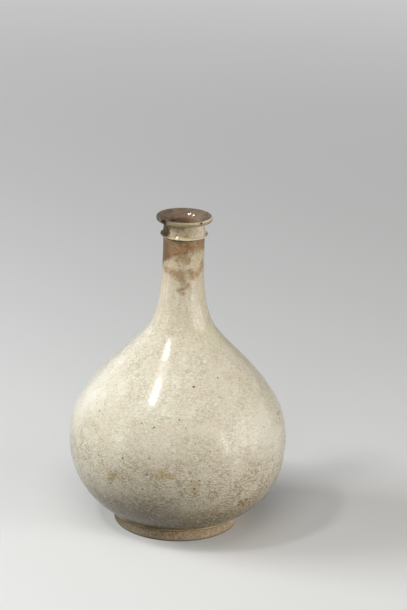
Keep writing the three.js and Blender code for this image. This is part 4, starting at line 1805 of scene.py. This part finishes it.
def set_lamps(stage):
    """Key panes and strips light the bottle and show in it; panels only light it, windows only show."""
    for name, part, tall, round_by, rise in KEY_PANES:
        direction = (stage.key_azimuth + math.radians(round_by), stage.key_height + math.radians(rise))
        lamp(name, stage.key * part, (KEY_WIDTH, tall), direction, KEY_DISTANCE)
    panels = (
        ("left panel", stage.left, (1.1, 0.7), -88, 30, (0.93, 0.97, 1.0)),
        ("high panel", stage.high, (1.2, 0.9), 0, 62, (1.0, 0.99, 0.96)),
        ("front panel", stage.front, (1.2, 0.6), -6, 32, (1.0, 0.98, 0.95)),
        ("right panel", stage.right, (0.8, 0.5), 70, 6, (1.0, 0.99, 0.98)),
    )
    for name, power, size, azimuth, elevation, light in panels:
        direction = (math.radians(azimuth), math.radians(elevation))
        lamp(name, power, size, direction, PANEL_DISTANCE, light, glossy=False)
    for name, part, wide, azimuth in STRIPS:
        direction = (math.radians(azimuth), STRIP_RISE)
        lamp(name, part * stage.strip, (wide, STRIP_HEIGHT), direction, STRIP_DISTANCE)
    for name, part, wide, tall, azimuth, elevation, light in WINDOWS:
        direction = (math.radians(azimuth), math.radians(elevation))
        power = part * stage.window * math.pi * wide * tall
        pane = lamp(name, power, (wide, tall), direction, PANEL_DISTANCE, light)
        pane.visible_diffuse = False


def set_world(stage):
    world = bpy.data.worlds.new("surroundings")
    bpy.context.scene.world = world
    n = emptied(world)
    light = n.add("ShaderNodeBackground", {"Color": (0.96, 0.98, 1, 1), "Strength": stage.sky})
    seen = n.add("ShaderNodeBackground", {"Color": (0.8, 0.81, 0.82, 1), "Strength": 1})
    path = n.add("ShaderNodeLightPath").outputs
    mixed = n.add("ShaderNodeMixShader", [path["Is Camera Ray"], light.outputs[0], seen.outputs[0]])
    n.add("ShaderNodeOutputWorld", [mixed.outputs[0]])


class MakeStage(bpy.types.Operator):
    """Lay the pale floor and set the lamps, the surroundings and the camera"""

    bl_idname = "bottle.make_stage"
    bl_label = "Stage"

    def execute(self, context):
        stage = context.scene.bottle_stage
        lay_floor(stage)
        set_lamps(stage)
        set_world(stage)
        set_camera()
        context.scene.view_settings.view_transform = "Standard"
        return {"FINISHED"}


OPERATORS = (MakeFoot, MakeBody, MakeNeck, MakeMouth, MakeStage)


class BottlePanel(bpy.types.Panel):
    """Sizes, finishes and pieces of the bottle"""

    bl_idname = "VIEW3D_PT_bottle"
    bl_label = "Porcelain Bottle"
    bl_space_type = "VIEW_3D"
    bl_region_type = "UI"
    bl_category = "Bottle"

    def draw(self, context):
        for operator in OPERATORS:
            self.layout.operator(operator.bl_idname)
        for name, group in GROUPS.items():
            box = self.layout.box()
            for key in group.__annotations__:
                box.prop(getattr(context.scene, name), key)


CLASSES = (*GROUPS.values(), *OPERATORS, BottlePanel)


def register():
    for cls in CLASSES:
        bpy.utils.register_class(cls)
    for name, group in GROUPS.items():
        setattr(bpy.types.Scene, name, PointerProperty(type=group))


def unregister():
    for name in GROUPS:
        delattr(bpy.types.Scene, name)
    for cls in reversed(CLASSES):
        bpy.utils.unregister_class(cls)


def main():
    register()
    bpy.ops.bottle.make_foot()
    bpy.ops.bottle.make_body()
    bpy.ops.bottle.make_neck()
    bpy.ops.bottle.make_mouth()
    bpy.ops.bottle.make_stage()


if __name__ == "__main__":
    main()
